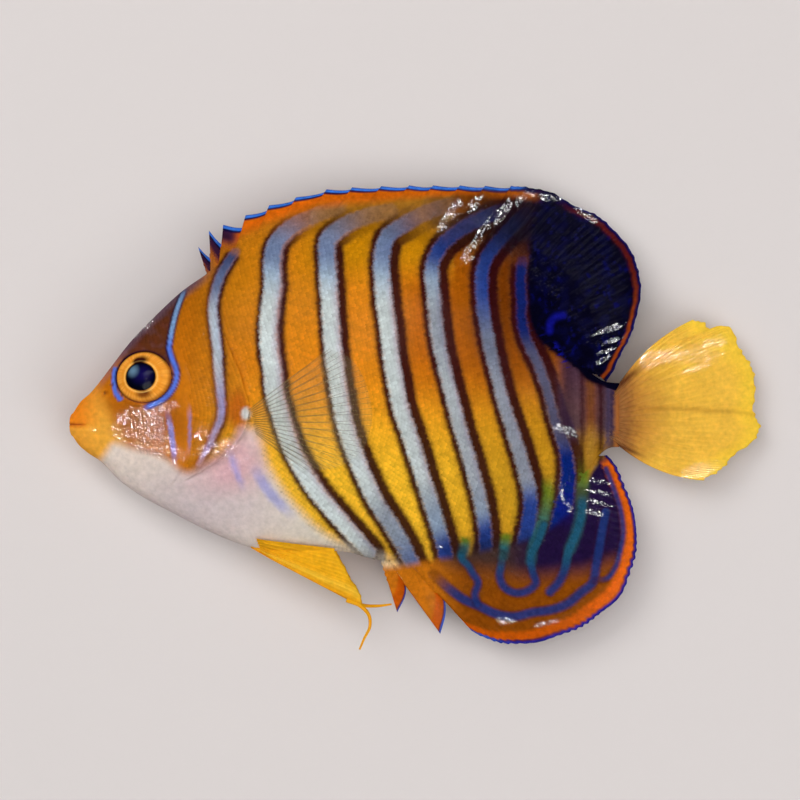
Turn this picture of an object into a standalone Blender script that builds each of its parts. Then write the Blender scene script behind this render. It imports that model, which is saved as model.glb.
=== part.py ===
"""A life-size regal angelfish that lies on its right flank, in metres, +Z up.

The fish is drawn in its own frame: X runs from the snout to the tail, Y from the belly to the back, and Z
out of the left flank, with Z = 0 in the middle of the body. An empty then sets it down on its right side.
Flesh is a loft of lens-shaped sections, fins are thin sheets that grow from the edges of that loft.
"""

import math

import bmesh
import bpy
import numpy as np
from mathutils import Matrix, Vector

MM = 0.001

# The outline of the flesh, seen from the side: distance from the snout, then height, in millimetres
BACK_LINE = (
    (0.4, -1.6), (1.25, -0.3), (2.5, 0.85), (5, 3.95), (7.5, 7.2), (11.25, 11.1), (14, 13.6), (17, 15.7),
    (20.5, 18.3), (24.5, 19.9), (32, 20.9), (39, 20.4), (46, 18.8), (51.5, 16.4), (56.5, 12.5), (60.5, 8.2),
    (64, 4.4), (66.5, 2.5), (69, 2.1),
)
BELLY_LINE = (
    (0.4, -4.6), (1.0, -5.5), (2, -6.45), (4, -7.8), (6.25, -10.1), (8, -11.4), (13, -14.2), (18, -16.7),
    (23.5, -18.7), (29, -19.1), (34, -18.9), (39, -20), (45, -19.2), (51.5, -18), (57, -16.6), (61, -14.4),
    (63.5, -11.6), (65.3, -8), (67, -6.2), (69, -5.9),
)
# Half the width of the body, by distance from the snout
HALF_WIDTH = (
    (0.4, 1.15), (1.25, 1.7), (2.5, 2.35), (5, 3.25), (9, 4.4), (13, 5.25), (17, 5.85), (22, 6.2), (28, 6.35),
    (34, 6.3), (40, 5.75), (46, 4.85), (52, 3.8), (58, 2.75), (63, 2.0), (67, 1.45), (69, 1.2),
)
# How sharp the section is towards the back and the belly: under 1 is round, over 1 is keeled
BACK_SHARPNESS = ((0.4, 0.9), (10, 0.85), (20, 1.0), (30, 1.15), (69, 1.1))
BELLY_SHARPNESS = ((0.4, 0.9), (10, 0.8), (34, 0.8), (42, 1.1), (69, 1.1))
# Half the width of the flat edge that carries a fin
BACK_EDGE = ((0.4, 0.2), (14, 0.25), (18, 0.65), (69, 0.6))
BELLY_EDGE = ((0.4, 0.2), (35, 0.3), (40, 0.65), (69, 0.6))
# The edge of the gill opening, from the nape down to the throat
GILL_LINE = (
    (17, 15.7), (20, 6.9), (21.9, 2), (22.6, -1.5), (22, -4), (20, -6.5), (16.25, -9), (11.9, -11.4),
    (10, -12.5),
)

GAP = 0.3 * MM
REST_HEIGHT = 6.2 * MM
TORSO_END = 61 * MM
TAIL_END = 68.3 * MM

# The mouth: a slit between two lips that runs back along the sides of a rounded muzzle
MOUTH_Y = -3.05 * MM
MOUTH_LENGTH = 2.2 * MM
MOUTH_OPEN, MOUTH_CORNER = 0.3 * MM, 0.16 * MM
MOUTH_SAG = 0.45 * MM
LIP_LENGTH = 3.0 * MM
LIP_HEIGHT = 0.2 * MM
LIP_CENTRE = 0.62 * MM
LIP_WIDTH = 0.36 * MM
# Rings that close the muzzle: distance from the front, then the share of the face's height and width
MUZZLE_RINGS = ((0.0, 0.14, 0.2), (0.0, 0.42, 0.5), (0.05, 0.68, 0.74), (0.17, 0.88, 0.9))

EYE_X, EYE_Y = 9.5 * MM, 2.9 * MM
EYE_HALF_LENGTH, EYE_HALF_HEIGHT, EYE_HALF_DEPTH = 3.65 * MM, 3.25 * MM, 1.5 * MM
EYE_SUNK = 0.45 * MM
ORBIT_RIM = 0.2 * MM

NOSTRILS = ((4.6 * MM, 0.9 * MM), (5.5 * MM, 1.9 * MM))
NOSTRIL_RADIUS = 0.28 * MM
NOSTRIL_DEPTH = 0.4 * MM

# The gill cover lies in a recess of the head between these shares of the way to the gill line
COVER_START = 0.68
COVER_WALL = 0.02
COVER_TOP, COVER_BOTTOM, COVER_SLOPE = 67.5, 121.5, 1.5
COVER_TOP_FADE = math.radians(60), math.radians(72)
COVER_BOTTOM_FADE = math.radians(118), math.radians(132)
COVER_THICKNESS = 0.7 * MM
COVER_RAISED = 0.25 * MM
GILL_STEP = 0.55 * MM

# The hollow behind the gill cover where the pectoral fin folds in
HOLLOW_X, HOLLOW_Y = 26 * MM, -3 * MM
HOLLOW_LENGTH, HOLLOW_HEIGHT, HOLLOW_DEPTH = 4.5 * MM, 5 * MM, 0.6 * MM

# The right side fin lies between the flank and the floor, half closed and turned down about its root
FOLD_PIVOT = (23.5 * MM, -2 * MM)
FOLD_TURN = math.radians(-62)
FOLD_SPREAD = 0.45
FOLD_ROOM = 1.2 * MM
FOLD_MIDDLE, FOLD_LENGTH, FOLD_WIDTH = 7 * MM, 9.5 * MM, 6.5 * MM

# The spine at the lower corner of the cheek plate
CHEEK_SPINE = (14.1 * MM, -8.9 * MM)
CHEEK_SPINE_LENGTH = 1.6 * MM
CHEEK_SPINE_RADIUS, CHEEK_SPINE_TIP = 0.35 * MM, 0.05 * MM

FIN_ROOT = 1.2 * MM
FIN_EDGE = 0.5 * MM
FIN_CLEARANCE = 0.4 * MM
FIN_DROOP = 1.0 * MM
RAY_POINT = 0.2

# Back fin spines: root distance from the snout, tip distance and height, and how far the skin before it drops
DORSAL_SPINES = (
    (17.2, 15.95, 19.2, 0), (17.9, 17.3, 21.25, 3.6), (19.0, 19.1, 21.95, 2.5), (21.0, 21.9, 23.15, 1.6),
    (23.25, 24.85, 24.4, 0.7), (25.75, 28.2, 25.4, 0.45), (28.6, 32.05, 26.4, 0.45), (31.5, 35.25, 26.65, 0.4),
    (34.5, 38.9, 26.8, 0.4), (37.5, 42.4, 26.9, 0.4), (40.4, 45.4, 26.9, 0.4), (43.4, 48.75, 26.9, 0.4),
    (46.4, 51.9, 26.85, 0.4), (49.4, 55.1, 26.75, 0.4),
)
SOFT_DORSAL_BASE = (49.75, 66.0)
SOFT_DORSAL_MARGIN = (
    (55.5, 26.75), (58.6, 26.45), (60.1, 26.05), (62, 24.95), (66.4, 22.75), (69, 20.3), (70.9, 17.1),
    (71.4, 13.75), (70.5, 9.1), (68.6, 5), (67.5, 2.95),
)
SOFT_DORSAL_RAYS = 18

# Spines of the fin under the tail and the notches behind them: root distance, tip distance and height
ANAL_SPINES = ((39.0, 40.9, -26.6), (40.2, 46.3, -29.3), (42.2, 50.2, -28.9))
ANAL_NOTCHES = ((39.6, 42.0, -23.4), (41.3, 46.9, -25.1))
ANAL_BASE = (42.9, 66.3)
ANAL_MARGIN = (
    (51.3, -29.55), (54.6, -30.55), (57.1, -30.5), (61.05, -29.6), (65.95, -27.1), (69.2, -23.9), (70.4, -20.6),
    (70.95, -16.5), (70.5, -14.1), (69, -9.75), (68, -7.9), (67.2, -6.9),
)
ANAL_RAYS = 18

CAUDAL_TOP, CAUDAL_BOTTOM = 1.9, -5.7
CAUDAL_MARGIN = (
    (77.75, 9.95), (80.3, 9.3), (82.9, 8.7), (84.4, 6.1), (85.8, 3.25), (86.2, 1.4), (86.2, -1.05),
    (86.7, -3.45), (85.5, -5.3), (83.3, -6.95), (81.1, -9), (79.35, -10.1),
)
CAUDAL_RAYS = 17
CAUDAL_BOW = 0.95 * MM
CAUDAL_DROOP = 3.4 * MM

PECTORAL_ROOT = ((22.9, -1.0), (23.7, -4.3))
PECTORAL_MARGIN = ((32.6, 6.3), (35.3, 5), (37.2, 1.5), (37.8, -2.5), (36.6, -6.2), (33.5, -8.3), (29.5, -8.6))
PECTORAL_RAYS = 15

PELVIC_ROOT = ((23.2, -18.7), (22.7, -17.1))
PELVIC_MARGIN = ((36.6, -25.9), (36.0, -23.7), (34.9, -22.2), (34.3, -20.9), (33.6, -19.6), (33.0, -18.4))
PELVIC_RAYS = 6
PELVIC_HANG = 1.2 * MM
PELVIC_THREADS = {
    "left": ((34.6, -24.9), (36.4, -25.7), (37.4, -26.9), (37.5, -28.2), (36.8, -29.7), (36.2, -31.1)),
    "right": ((34.6, -24.9), (36.4, -25.7), (38.6, -25.8), (40.2, -25.6)),
}
THREAD_RADIUS = 0.36 * MM
THREAD_TAPER = 0.6

# Each material: colour, roughness
FINISHES = {
    "skin_orange": ((0.80, 0.42, 0.06), 0.35),
    "skin_banded": ((0.78, 0.50, 0.14), 0.35),
    "fin_orange": ((0.78, 0.30, 0.03), 0.3),
    "fin_blue": ((0.02, 0.02, 0.16), 0.3),
    "fin_yellow": ((0.90, 0.62, 0.10), 0.35),
    "fin_clear": ((0.80, 0.74, 0.55), 0.3),
    "eye": ((0.90, 0.50, 0.06), 0.1),
}


def smooth_curve(knots, scale=MM):
    """A smooth curve through points given as (parameter, value, ...), as a function of the parameter."""
    table = np.asarray(knots, float)
    at, values = table[:, 0] * scale, table[:, 1:] * MM
    step = np.diff(at)[:, None]
    slope = np.diff(values, axis=0) / step
    middle = (slope[:-1] * step[1:] + slope[1:] * step[:-1]) / (step[:-1] + step[1:])
    tangent = np.vstack([slope[:1], middle, slope[-1:]])

    def value(q):
        q = np.clip(np.asarray(q, float), at[0], at[-1])
        i = np.clip(np.searchsorted(at, q, side="right") - 1, 0, len(step) - 1)
        w = ((q - at[i]) / step[i, 0])[..., None]
        start, end = values[i], values[i + 1]
        lift_start, lift_end = tangent[i] * step[i], tangent[i + 1] * step[i]
        found = (
            start * (1 + 2 * w) * (1 - w) ** 2
            + lift_start * w * (1 - w) ** 2
            + end * w**2 * (3 - 2 * w)
            - lift_end * w**2 * (1 - w)
        )
        return found[..., 0] if found.shape[-1] == 1 else found

    return value


def path(points, samples=240):
    """A smooth path through (x, y) points in millimetres, as a function of the share of its length."""
    table = np.asarray(points, float)
    chord = np.concatenate([[0], np.cumsum(np.linalg.norm(np.diff(table, axis=0), axis=1))])
    fine = smooth_curve(np.column_stack([chord, table]))(np.linspace(0, chord[-1] * MM, samples))
    run = np.concatenate([[0], np.cumsum(np.linalg.norm(np.diff(fine, axis=0), axis=1))])
    return lambda share: np.column_stack(
        [np.interp(np.asarray(share) * run[-1], run, fine[:, axis]) for axis in range(2)]
    )


back = smooth_curve(BACK_LINE)
belly = smooth_curve(BELLY_LINE)
half_width = smooth_curve(HALF_WIDTH)
back_sharpness = smooth_curve([(x, value / MM) for x, value in BACK_SHARPNESS])
belly_sharpness = smooth_curve([(x, value / MM) for x, value in BELLY_SHARPNESS])
back_edge = smooth_curve(BACK_EDGE)
belly_edge = smooth_curve(BELLY_EDGE)


def bump(distance, width):
    """A smooth hill, 1 in the middle and near 0 past its width."""
    return np.exp(-((distance / width) ** 2))


def ramp(value, start, end):
    """0 before start, 1 after end, and smooth in between."""
    share = np.clip((value - start) / (end - start), 0, 1)
    return share * share * (3 - 2 * share)


def section(x, angle):
    """Height and half thickness of the plain flesh at a distance x; angle 0 is the back and pi the belly."""
    top, bottom = back(x), belly(x)
    upper = angle < math.pi / 2
    edge = np.where(upper, back_edge(x), belly_edge(x))
    sharpness = np.where(upper, back_sharpness(x), belly_sharpness(x))
    thickness = edge + (half_width(x) - edge) * np.abs(np.sin(angle)) ** sharpness
    return (top + bottom) / 2 + (top - bottom) / 2 * np.cos(angle), thickness


def gill_crossings():
    """The gill line as an angle of the section and its distance from the snout."""
    line = path(GILL_LINE)(np.linspace(0, 1, 120))
    x, y = line[:, 0], line[:, 1]
    middle, half = (back(x) + belly(x)) / 2, (back(x) - belly(x)) / 2
    angle = np.arccos(np.clip((y - middle) / half, -1, 1))
    angle[0], angle[-1] = 0, math.pi
    steepness = np.sqrt(1 + np.gradient(x, y) ** 2)
    return angle, x, steepness


GILL_ANGLE, GILL_X, GILL_STEEPNESS = gill_crossings()


def gill_x(angle):
    """Where a line of constant angle meets the edge of the gill opening."""
    return np.interp(angle, GILL_ANGLE, GILL_X)


def relief(x, y, angle):
    """How far the lips, orbit, gill step and fin hollow lift or sink the plain flesh."""
    lips = LIP_HEIGHT * bump(np.abs(y - MOUTH_Y) - LIP_CENTRE, LIP_WIDTH)
    lips = lips * (1 - ramp(x, 0.6 * LIP_LENGTH, LIP_LENGTH))
    from_eye = np.hypot((x - EYE_X) / EYE_HALF_LENGTH, (y - EYE_Y) / EYE_HALF_HEIGHT)
    orbit = ORBIT_RIM * bump(from_eye - 1.05, 0.16)
    beside = ramp(angle, *COVER_TOP_FADE) * (1 - ramp(angle, *COVER_BOTTOM_FADE))
    behind = x - gill_x(angle)
    step = -GILL_STEP * beside * np.where(behind > 0, bump(behind, 3 * MM), 0)
    hollow_at = np.hypot((x - HOLLOW_X) / HOLLOW_LENGTH, (y - HOLLOW_Y) / HOLLOW_HEIGHT)
    hollow = -HOLLOW_DEPTH * bump(hollow_at, 0.85) * np.where(behind > 0, 1, 0)
    return lips + orbit + np.minimum(step, hollow)


def floor_limit(x, y):
    """How far the right flank may reach down: to the floor, or to the fin that is folded under it."""
    from_pivot_x, from_pivot_y = x - FOLD_PIVOT[0], y - FOLD_PIVOT[1]
    along = from_pivot_x * math.cos(FOLD_TURN) + from_pivot_y * math.sin(FOLD_TURN)
    across = from_pivot_y * math.cos(FOLD_TURN) - from_pivot_x * math.sin(FOLD_TURN)
    inside = np.hypot((along - FOLD_MIDDLE) / FOLD_LENGTH, across / FOLD_WIDTH)
    return REST_HEIGHT - FOLD_ROOM * (1 - ramp(inside, 0.9, 1.3))


def flesh(x, angle, side, sunk=0.0, raised=0.0):
    """Points on the skin; side is 1 for the left flank and -1 for the right, which the floor flattens."""
    y, z = section(x, angle)
    lift = relief(x, y, angle) + raised
    outward_z = np.sin(angle) * (back(x) - belly(x)) / 2
    outward_y = np.cos(angle) * half_width(x)
    length = np.hypot(outward_y, outward_z)
    y, z = y + lift * outward_y / length, z + lift * outward_z / length
    if side < 0:
        z = np.minimum(z, floor_limit(x, y))
    y, z = y - sunk * outward_y / length, z - sunk * outward_z / length
    return np.stack([x + 0 * angle, y, side * np.maximum(z, 0.1 * MM)], axis=-1)


def flank(x, y, side):
    """Half thickness of the flesh at a place seen from the side, relief included."""
    middle, half = (back(x) + belly(x)) / 2, (back(x) - belly(x)) / 2
    angle = np.arccos(np.clip((y - middle) / half, -1, 1))
    half_thickness = section(x, angle)[1] + relief(x, y, angle)
    return np.minimum(half_thickness, floor_limit(x, y)) if side < 0 else half_thickness


def finish(name):
    """The named finish as a material."""
    made = bpy.data.materials.get(name) or bpy.data.materials.new(name)
    made.use_nodes = True
    shader = made.node_tree.nodes["Principled BSDF"]
    colour, roughness = FINISHES[name]
    shader.inputs["Base Color"].default_value = (*colour, 1)
    shader.inputs["Roughness"].default_value = roughness
    shader.inputs["Metallic"].default_value = 0
    return made


def add_piece(name, bm, material):
    """Turns a bmesh into a named object of the fish."""
    mesh = bpy.data.meshes.new(name)
    bm.to_mesh(mesh)
    bm.free()
    piece = bpy.data.objects.new(name, mesh)
    collection.objects.link(piece)
    piece.parent = fish
    mesh.materials.append(finish(material))
    mesh.shade_smooth()
    return piece


def add_loft(name, stations, angles, material, inner=None):
    """A closed loft through stations, each a function that gives one side's points for the angles."""
    bm = bmesh.new()
    rings = []
    for index, station in enumerate(stations):
        ring = []
        for side in (1, -1):
            sunk = inner(index, angles) if inner else 0.0
            points = station(angles, side, sunk)
            ring.append([bm.verts.new(point) for point in points])
        rings.append(ring)

    def skin(a, b, c, d):
        bm.faces.new((a, b, c))
        bm.faces.new((a, c, d))

    last = len(angles) - 1
    for (left, right), (next_left, next_right) in zip(rings[:-1], rings[1:]):
        for j in range(last):
            skin(left[j], left[j + 1], next_left[j + 1], next_left[j])
            skin(right[j], next_right[j], next_right[j + 1], right[j + 1])
        skin(right[0], left[0], next_left[0], next_right[0])
        skin(left[last], right[last], next_right[last], next_left[last])
    for (left, right), forward in ((rings[0], True), (rings[-1], False)):
        for j in range(last):
            strip = (left[j], right[j], right[j + 1], left[j + 1])
            skin(*(strip if forward else strip[::-1]))
    return add_piece(name, bm, material)


def plain_station(distance):
    """A station of the loft whose distance is a function of the angle."""
    return lambda angles, side, sunk: flesh(distance(angles), angles, side, sunk)


def muzzle_station(distance, height_share, width_share):
    """A ring that narrows towards the front of the muzzle."""

    def points(angles, side, sunk):
        start = BACK_LINE[0][0] * MM
        ring = flesh(np.full_like(angles, start), angles, side)
        middle = (back(start) + belly(start)) / 2
        ring[:, 0] = distance * MM
        ring[:, 1] = middle + (ring[:, 1] - middle) * height_share
        ring[:, 2] *= width_share
        return ring

    return points


HEAD_ANGLES = np.radians(
    np.concatenate([
        np.linspace(0, COVER_TOP, 13),
        np.linspace(COVER_TOP + COVER_SLOPE, COVER_BOTTOM - COVER_SLOPE, 11),
        np.linspace(COVER_BOTTOM, 180, 11),
    ])
)
HEAD_SHARES = np.concatenate([
    np.linspace(0, 1, 18)[:-1] ** 1.25 * COVER_START,
    [COVER_START],
    np.linspace(COVER_START + COVER_WALL, 1, 6),
])


def head_distance(share):
    """The distance function of the head's station that lies this share of the way to the gill line."""
    start = BACK_LINE[0][0] * MM
    return lambda angles: start + (gill_x(angles) - start) * share


def add_head():
    """The head from the lips to the gill line, with a recess on each side for the gill cover."""

    def recess(index, angles):
        share = HEAD_SHARES[index - len(MUZZLE_RINGS)] if index >= len(MUZZLE_RINGS) else 0
        inside = (angles > math.radians(COVER_TOP + 0.5 * COVER_SLOPE)) & (
            angles < math.radians(COVER_BOTTOM - 0.5 * COVER_SLOPE)
        )
        deep = COVER_THICKNESS + GAP
        return np.where(inside & (share > COVER_START + 0.5 * COVER_WALL), deep, 0)

    stations = [muzzle_station(*ring) for ring in MUZZLE_RINGS]
    stations += [plain_station(head_distance(share)) for share in HEAD_SHARES]
    head = add_loft("head", stations, HEAD_ANGLES, "skin_orange", recess)
    hollows = [mouth_shape()]
    for side in (1, -1):
        hollows.append(eye_shape(side, GAP))
        hollows += [nostril_shape(place, side) for place in NOSTRILS]
    combine(head, "UNION", [spine_shape(1), spine_shape(-1)])
    combine(head, "DIFFERENCE", hollows)


def mouth_shape():
    """The wedge that parts the lips: narrow at the corners of the mouth, and lower in the middle."""
    bm = bmesh.new()
    bmesh.ops.create_cube(bm, size=1)
    across = [edge for edge in bm.edges if edge.verts[0].co.z != edge.verts[1].co.z]
    bmesh.ops.subdivide_edges(bm, edges=across, cuts=7)
    for vertex in bm.verts:
        at_corner = vertex.co.x > 0
        vertex.co.x = MOUTH_LENGTH if at_corner else -MOUTH_LENGTH
        vertex.co.y = MOUTH_Y + vertex.co.y * (MOUTH_CORNER if at_corner else MOUTH_OPEN)
        vertex.co.y -= MOUTH_SAG * math.cos(math.pi * vertex.co.z) ** 2
        vertex.co.z *= 3 * MOUTH_LENGTH
    return bm


def facing(x, y, side):
    """Where the skin is at a place seen from the side, and which way it faces."""
    near = 0.2 * MM
    z = float(flank(x, y, side))
    slope_x = float(flank(x + near, y, side) - flank(x - near, y, side)) / (2 * near)
    slope_y = float(flank(x, y + near, side) - flank(x, y - near, side)) / (2 * near)
    return Vector((x, y, side * z)), Vector((-slope_x, -slope_y, side)).normalized()


def eye_shape(side, grown):
    """The eyeball, a flattened ball set in the skin, or its socket if it is grown."""
    bm = bmesh.new()
    bmesh.ops.create_uvsphere(bm, u_segments=24, v_segments=11, radius=1)
    place, normal = facing(EYE_X, EYE_Y, side)
    size = (EYE_HALF_LENGTH + grown, EYE_HALF_HEIGHT + grown, EYE_HALF_DEPTH + grown)
    turn = Vector((0, 0, side)).rotation_difference(normal).to_matrix().to_4x4()
    bm.transform(Matrix.Translation(place - normal * EYE_SUNK) @ turn @ Matrix.Diagonal((*size, 1)))
    return bm


def nostril_shape(place, side):
    """A short plug that makes one nostril where it is cut out of the snout."""
    bm = bmesh.new()
    bmesh.ops.create_cone(
        bm, cap_ends=True, segments=10, radius1=0.7 * NOSTRIL_RADIUS, radius2=NOSTRIL_RADIUS,
        depth=2 * NOSTRIL_DEPTH,
    )
    where, normal = facing(*place, side)
    bm.transform(Matrix.Translation(where) @ normal.to_track_quat("Z", "Y").to_matrix().to_4x4())
    return bm


def spine_shape(side):
    """The spine at the lower corner of the cheek plate, pointing back."""
    bm = bmesh.new()
    bmesh.ops.create_cone(
        bm, cap_ends=True, segments=8, radius1=CHEEK_SPINE_RADIUS, radius2=CHEEK_SPINE_TIP,
        depth=CHEEK_SPINE_LENGTH,
    )
    where, normal = facing(*CHEEK_SPINE, side)
    aim = Vector((1, -0.12, 0.12 * side)).normalized()
    where = where + aim * CHEEK_SPINE_LENGTH / 2 + normal * CHEEK_SPINE_TIP
    bm.transform(Matrix.Translation(where) @ aim.to_track_quat("Z", "Y").to_matrix().to_4x4())
    return bm


def combine(piece, operation, shapes):
    """Adds one Boolean that cuts or joins all the given helper shapes."""
    group = bpy.data.collections.new(f"{piece.name}_{operation.lower()}")
    cutters.children.link(group)
    for bm in shapes:
        mesh = bpy.data.meshes.new(group.name)
        bm.to_mesh(mesh)
        bm.free()
        helper = bpy.data.objects.new(group.name, mesh)
        helper.hide_render = True
        helper.display_type = "WIRE"
        helper.parent = fish
        group.objects.link(helper)
    modifier = piece.modifiers.new(operation.lower(), "BOOLEAN")
    modifier.operation = operation
    modifier.operand_type = "COLLECTION"
    modifier.collection = group
    modifier.solver = "EXACT"


def add_gill_cover(name, side):
    """The bony plate over the gills, raised a little at its free rear edge."""
    columns, rows = 8, 10
    first, last = COVER_START + 1.8 * COVER_WALL, 1.0
    top, bottom = math.radians(COVER_TOP + 1.7 * COVER_SLOPE), math.radians(COVER_BOTTOM - 1.7 * COVER_SLOPE)
    bm = bmesh.new()
    bmesh.ops.create_grid(bm, x_segments=columns, y_segments=rows, size=1)
    for vertex in bm.verts:
        share = first + (last - first) * (vertex.co.x + 1) / 2
        angle = np.array([top + (bottom - top) * (vertex.co.y + 1) / 2])
        raised = COVER_RAISED * math.sin(math.pi / 4 * (vertex.co.x + 1)) ** 2
        vertex.co = flesh(head_distance(share)(angle), angle, side, raised=raised)[0]
    bmesh.ops.triangulate(bm, faces=bm.faces)
    bmesh.ops.recalc_face_normals(bm, faces=bm.faces)
    if sum(face.normal.z for face in bm.faces) * side < 0:
        bmesh.ops.reverse_faces(bm, faces=bm.faces)
    cover = add_piece(name, bm, "skin_orange")
    shell = cover.modifiers.new("thickness", "SOLIDIFY")
    shell.thickness = COVER_THICKNESS
    shell.offset = -1
    return cover


def add_torso():
    """The trunk from behind the gill covers to the root of the tail."""
    angles = np.radians(np.linspace(0, 180, 27))
    start = gill_x(angles) + GAP * np.interp(angles, GILL_ANGLE, GILL_STEEPNESS)
    stations = []
    for share in np.linspace(0, 1, 28) ** 1.1:
        stations.append(plain_station(lambda angles, share=share: start + (TORSO_END - start) * share))
    return add_loft("torso", stations, angles, "skin_banded")


def add_tail_root():
    """The caudal peduncle, between the trunk and the tail fin."""
    angles = np.radians(np.linspace(0, 180, 19))
    stations = [
        plain_station(lambda angles, x=x: np.full_like(angles, x))
        for x in np.linspace(TORSO_END + GAP, TAIL_END, 9)
    ]
    return add_loft("tail_root", stations, angles, "skin_banded")


def add_fin(name, columns, rows, height, root_thickness, material, bow=None):
    """A fin between two edges: a thin sheet with a raised rib along each ray.

    Each column is a root point, a margin point and whether a ray runs along it; height gives the sheet's
    place out of the midplane, and bow bends the columns sideways.
    """
    bm = bmesh.new()
    bmesh.ops.create_grid(bm, x_segments=len(columns) - 1, y_segments=rows, size=1)
    weights = []
    for vertex in bm.verts:
        across, out = (vertex.co.x + 1) / 2, (vertex.co.y + 1) / 2
        root, tip, is_ray = columns[round(across * (len(columns) - 1))]
        place = root + (tip - root) * out
        if bow:
            run = (tip - root) / np.linalg.norm(tip - root)
            place = place + np.array([-run[1], run[0]]) * bow(across) * 4 * out * (1 - out)
        vertex.co = (*place, height(*place, out))
        weights.append(1 - out if is_ray or out == 0 else 0)
    bmesh.ops.triangulate(bm, faces=bm.faces)
    if sum(face.normal.z for face in bm.faces) < 0:
        bmesh.ops.reverse_faces(bm, faces=bm.faces)
    fin = add_piece(name, bm, material)
    group = fin.vertex_groups.new(name="thickness")
    for index, weight in enumerate(weights):
        group.add([index], weight, "REPLACE")
    shell = fin.modifiers.new("thickness", "SOLIDIFY")
    shell.thickness = root_thickness
    shell.offset = 0
    shell.vertex_group = group.name
    shell.thickness_vertex_group = FIN_EDGE / root_thickness
    return fin


def edge_points(edge, x, sign):
    """Points a gap outside an edge of the body, for distances from the snout in millimetres."""
    x = np.atleast_1d(x) * MM
    near = 0.05 * MM
    slope = (edge(x + near) - edge(x - near)) / (2 * near)
    length = np.sqrt(1 + slope**2)
    return np.column_stack([x - sign * slope * GAP / length, edge(x) + sign * GAP / length])


def soft_rays(roots, tips, count):
    """Columns for soft rays: each ray ends in a point, and the skin between two rays falls back a little."""
    shares = np.linspace(0, 1, 2 * count - 1)
    columns = []
    for index, (root, tip) in enumerate(zip(roots(shares), tips(shares))):
        is_ray = index % 2 == 0
        fall = 0 if is_ray else RAY_POINT * MM / np.linalg.norm(tip - root)
        columns.append((root, tip + (root - tip) * fall, is_ray))
    return columns


def base_path(edge, base, sign):
    """The root line of a fin on an edge of the body, as a function of the share of its length."""
    return path(edge_points(edge, np.linspace(*base, 60), sign) / MM)


def dorsal_spines():
    """Columns of the spiny fin: each spine stands above the skin before it, which then slopes to the next."""
    columns = []
    for index, (root_x, tip_x, tip_y, drop) in enumerate(DORSAL_SPINES):
        root, tip = edge_points(back, root_x, 1)[0], np.array([tip_x, tip_y]) * MM
        low = tip + (root - tip) * drop * MM / np.linalg.norm(root - tip)
        if index:
            before = root - np.array([0.25 * MM, 0])
            before[1] = edge_points(back, before[0] / MM, 1)[0][1]
            last_root, last_tip, _ = columns[-1]
            columns.append(((last_root + before) / 2, last_tip * 0.6 + low * 0.4, False))
            columns.append((before, low - np.array([0.12 * MM, 0]), False))
        columns.append((root, tip, True))
    return columns


def droop(x, y, out):
    """The fins of the midline sag a little towards the floor."""
    return -FIN_DROOP * out**2


def add_dorsal_fin():
    """The back fin in two pieces: the spiny front and the soft rear lobe."""
    add_fin("dorsal_fin_spiny", dorsal_spines(), 4, droop, FIN_ROOT, "fin_orange")
    roots = base_path(back, SOFT_DORSAL_BASE, 1)
    columns = soft_rays(roots, path(SOFT_DORSAL_MARGIN), SOFT_DORSAL_RAYS)
    add_fin("dorsal_fin_soft", columns, 6, droop, FIN_ROOT, "fin_blue")


def add_anal_fin():
    """The fin under the tail, with three spines, deep notches behind the first two, and a round soft lobe."""
    spines = [(*spine, True) for spine in ANAL_SPINES]
    notches = [(*notch, False) for notch in ANAL_NOTCHES]
    front = [spines[0], notches[0], spines[1], notches[1], spines[2]]
    columns = [
        (edge_points(belly, root_x, -1)[0], np.array([tip_x, tip_y]) * MM, is_ray)
        for root_x, tip_x, tip_y, is_ray in front
    ]
    columns += soft_rays(base_path(belly, ANAL_BASE, -1), path(ANAL_MARGIN), ANAL_RAYS)
    add_fin("anal_fin", columns, 6, droop, FIN_ROOT, "fin_orange")


def add_caudal_fin():
    """The tail fin, which sags towards the floor."""
    root_x = (TAIL_END + GAP) / MM
    farthest = max(x for x, _ in CAUDAL_MARGIN)
    columns = soft_rays(path(((root_x, CAUDAL_TOP), (root_x, CAUDAL_BOTTOM))), path(CAUDAL_MARGIN), CAUDAL_RAYS)

    def sag(x, y, out):
        return -CAUDAL_DROOP * max((x / MM - root_x) / (farthest - root_x), 0) ** 1.6

    def bow(across):
        return CAUDAL_BOW * math.cos(math.pi * across)

    add_fin("caudal_fin", columns, 7, sag, 2 * FIN_ROOT, "fin_yellow", bow)


def add_pectoral_fin(name, side):
    """A side fin along the flank: spread on the left, and half closed under the fish on the right."""
    spread, turn = (1, 0) if side > 0 else (FOLD_SPREAD, FOLD_TURN)
    margin = path(PECTORAL_MARGIN)

    def tips(shares):
        rays = margin(shares) - FOLD_PIVOT
        heading = np.arctan2(rays[:, 1], rays[:, 0]) * spread + turn
        length = np.linalg.norm(rays, axis=1)
        return np.array(FOLD_PIVOT) + np.column_stack([length * np.cos(heading), length * np.sin(heading)])

    def height(x, y, out):
        return side * (float(flank(x, y, side)) + GAP + FIN_CLEARANCE)

    columns = soft_rays(path(PECTORAL_ROOT), tips, PECTORAL_RAYS)
    add_fin(name, columns, 5, height, 1.3 * FIN_EDGE, "fin_clear")


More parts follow.
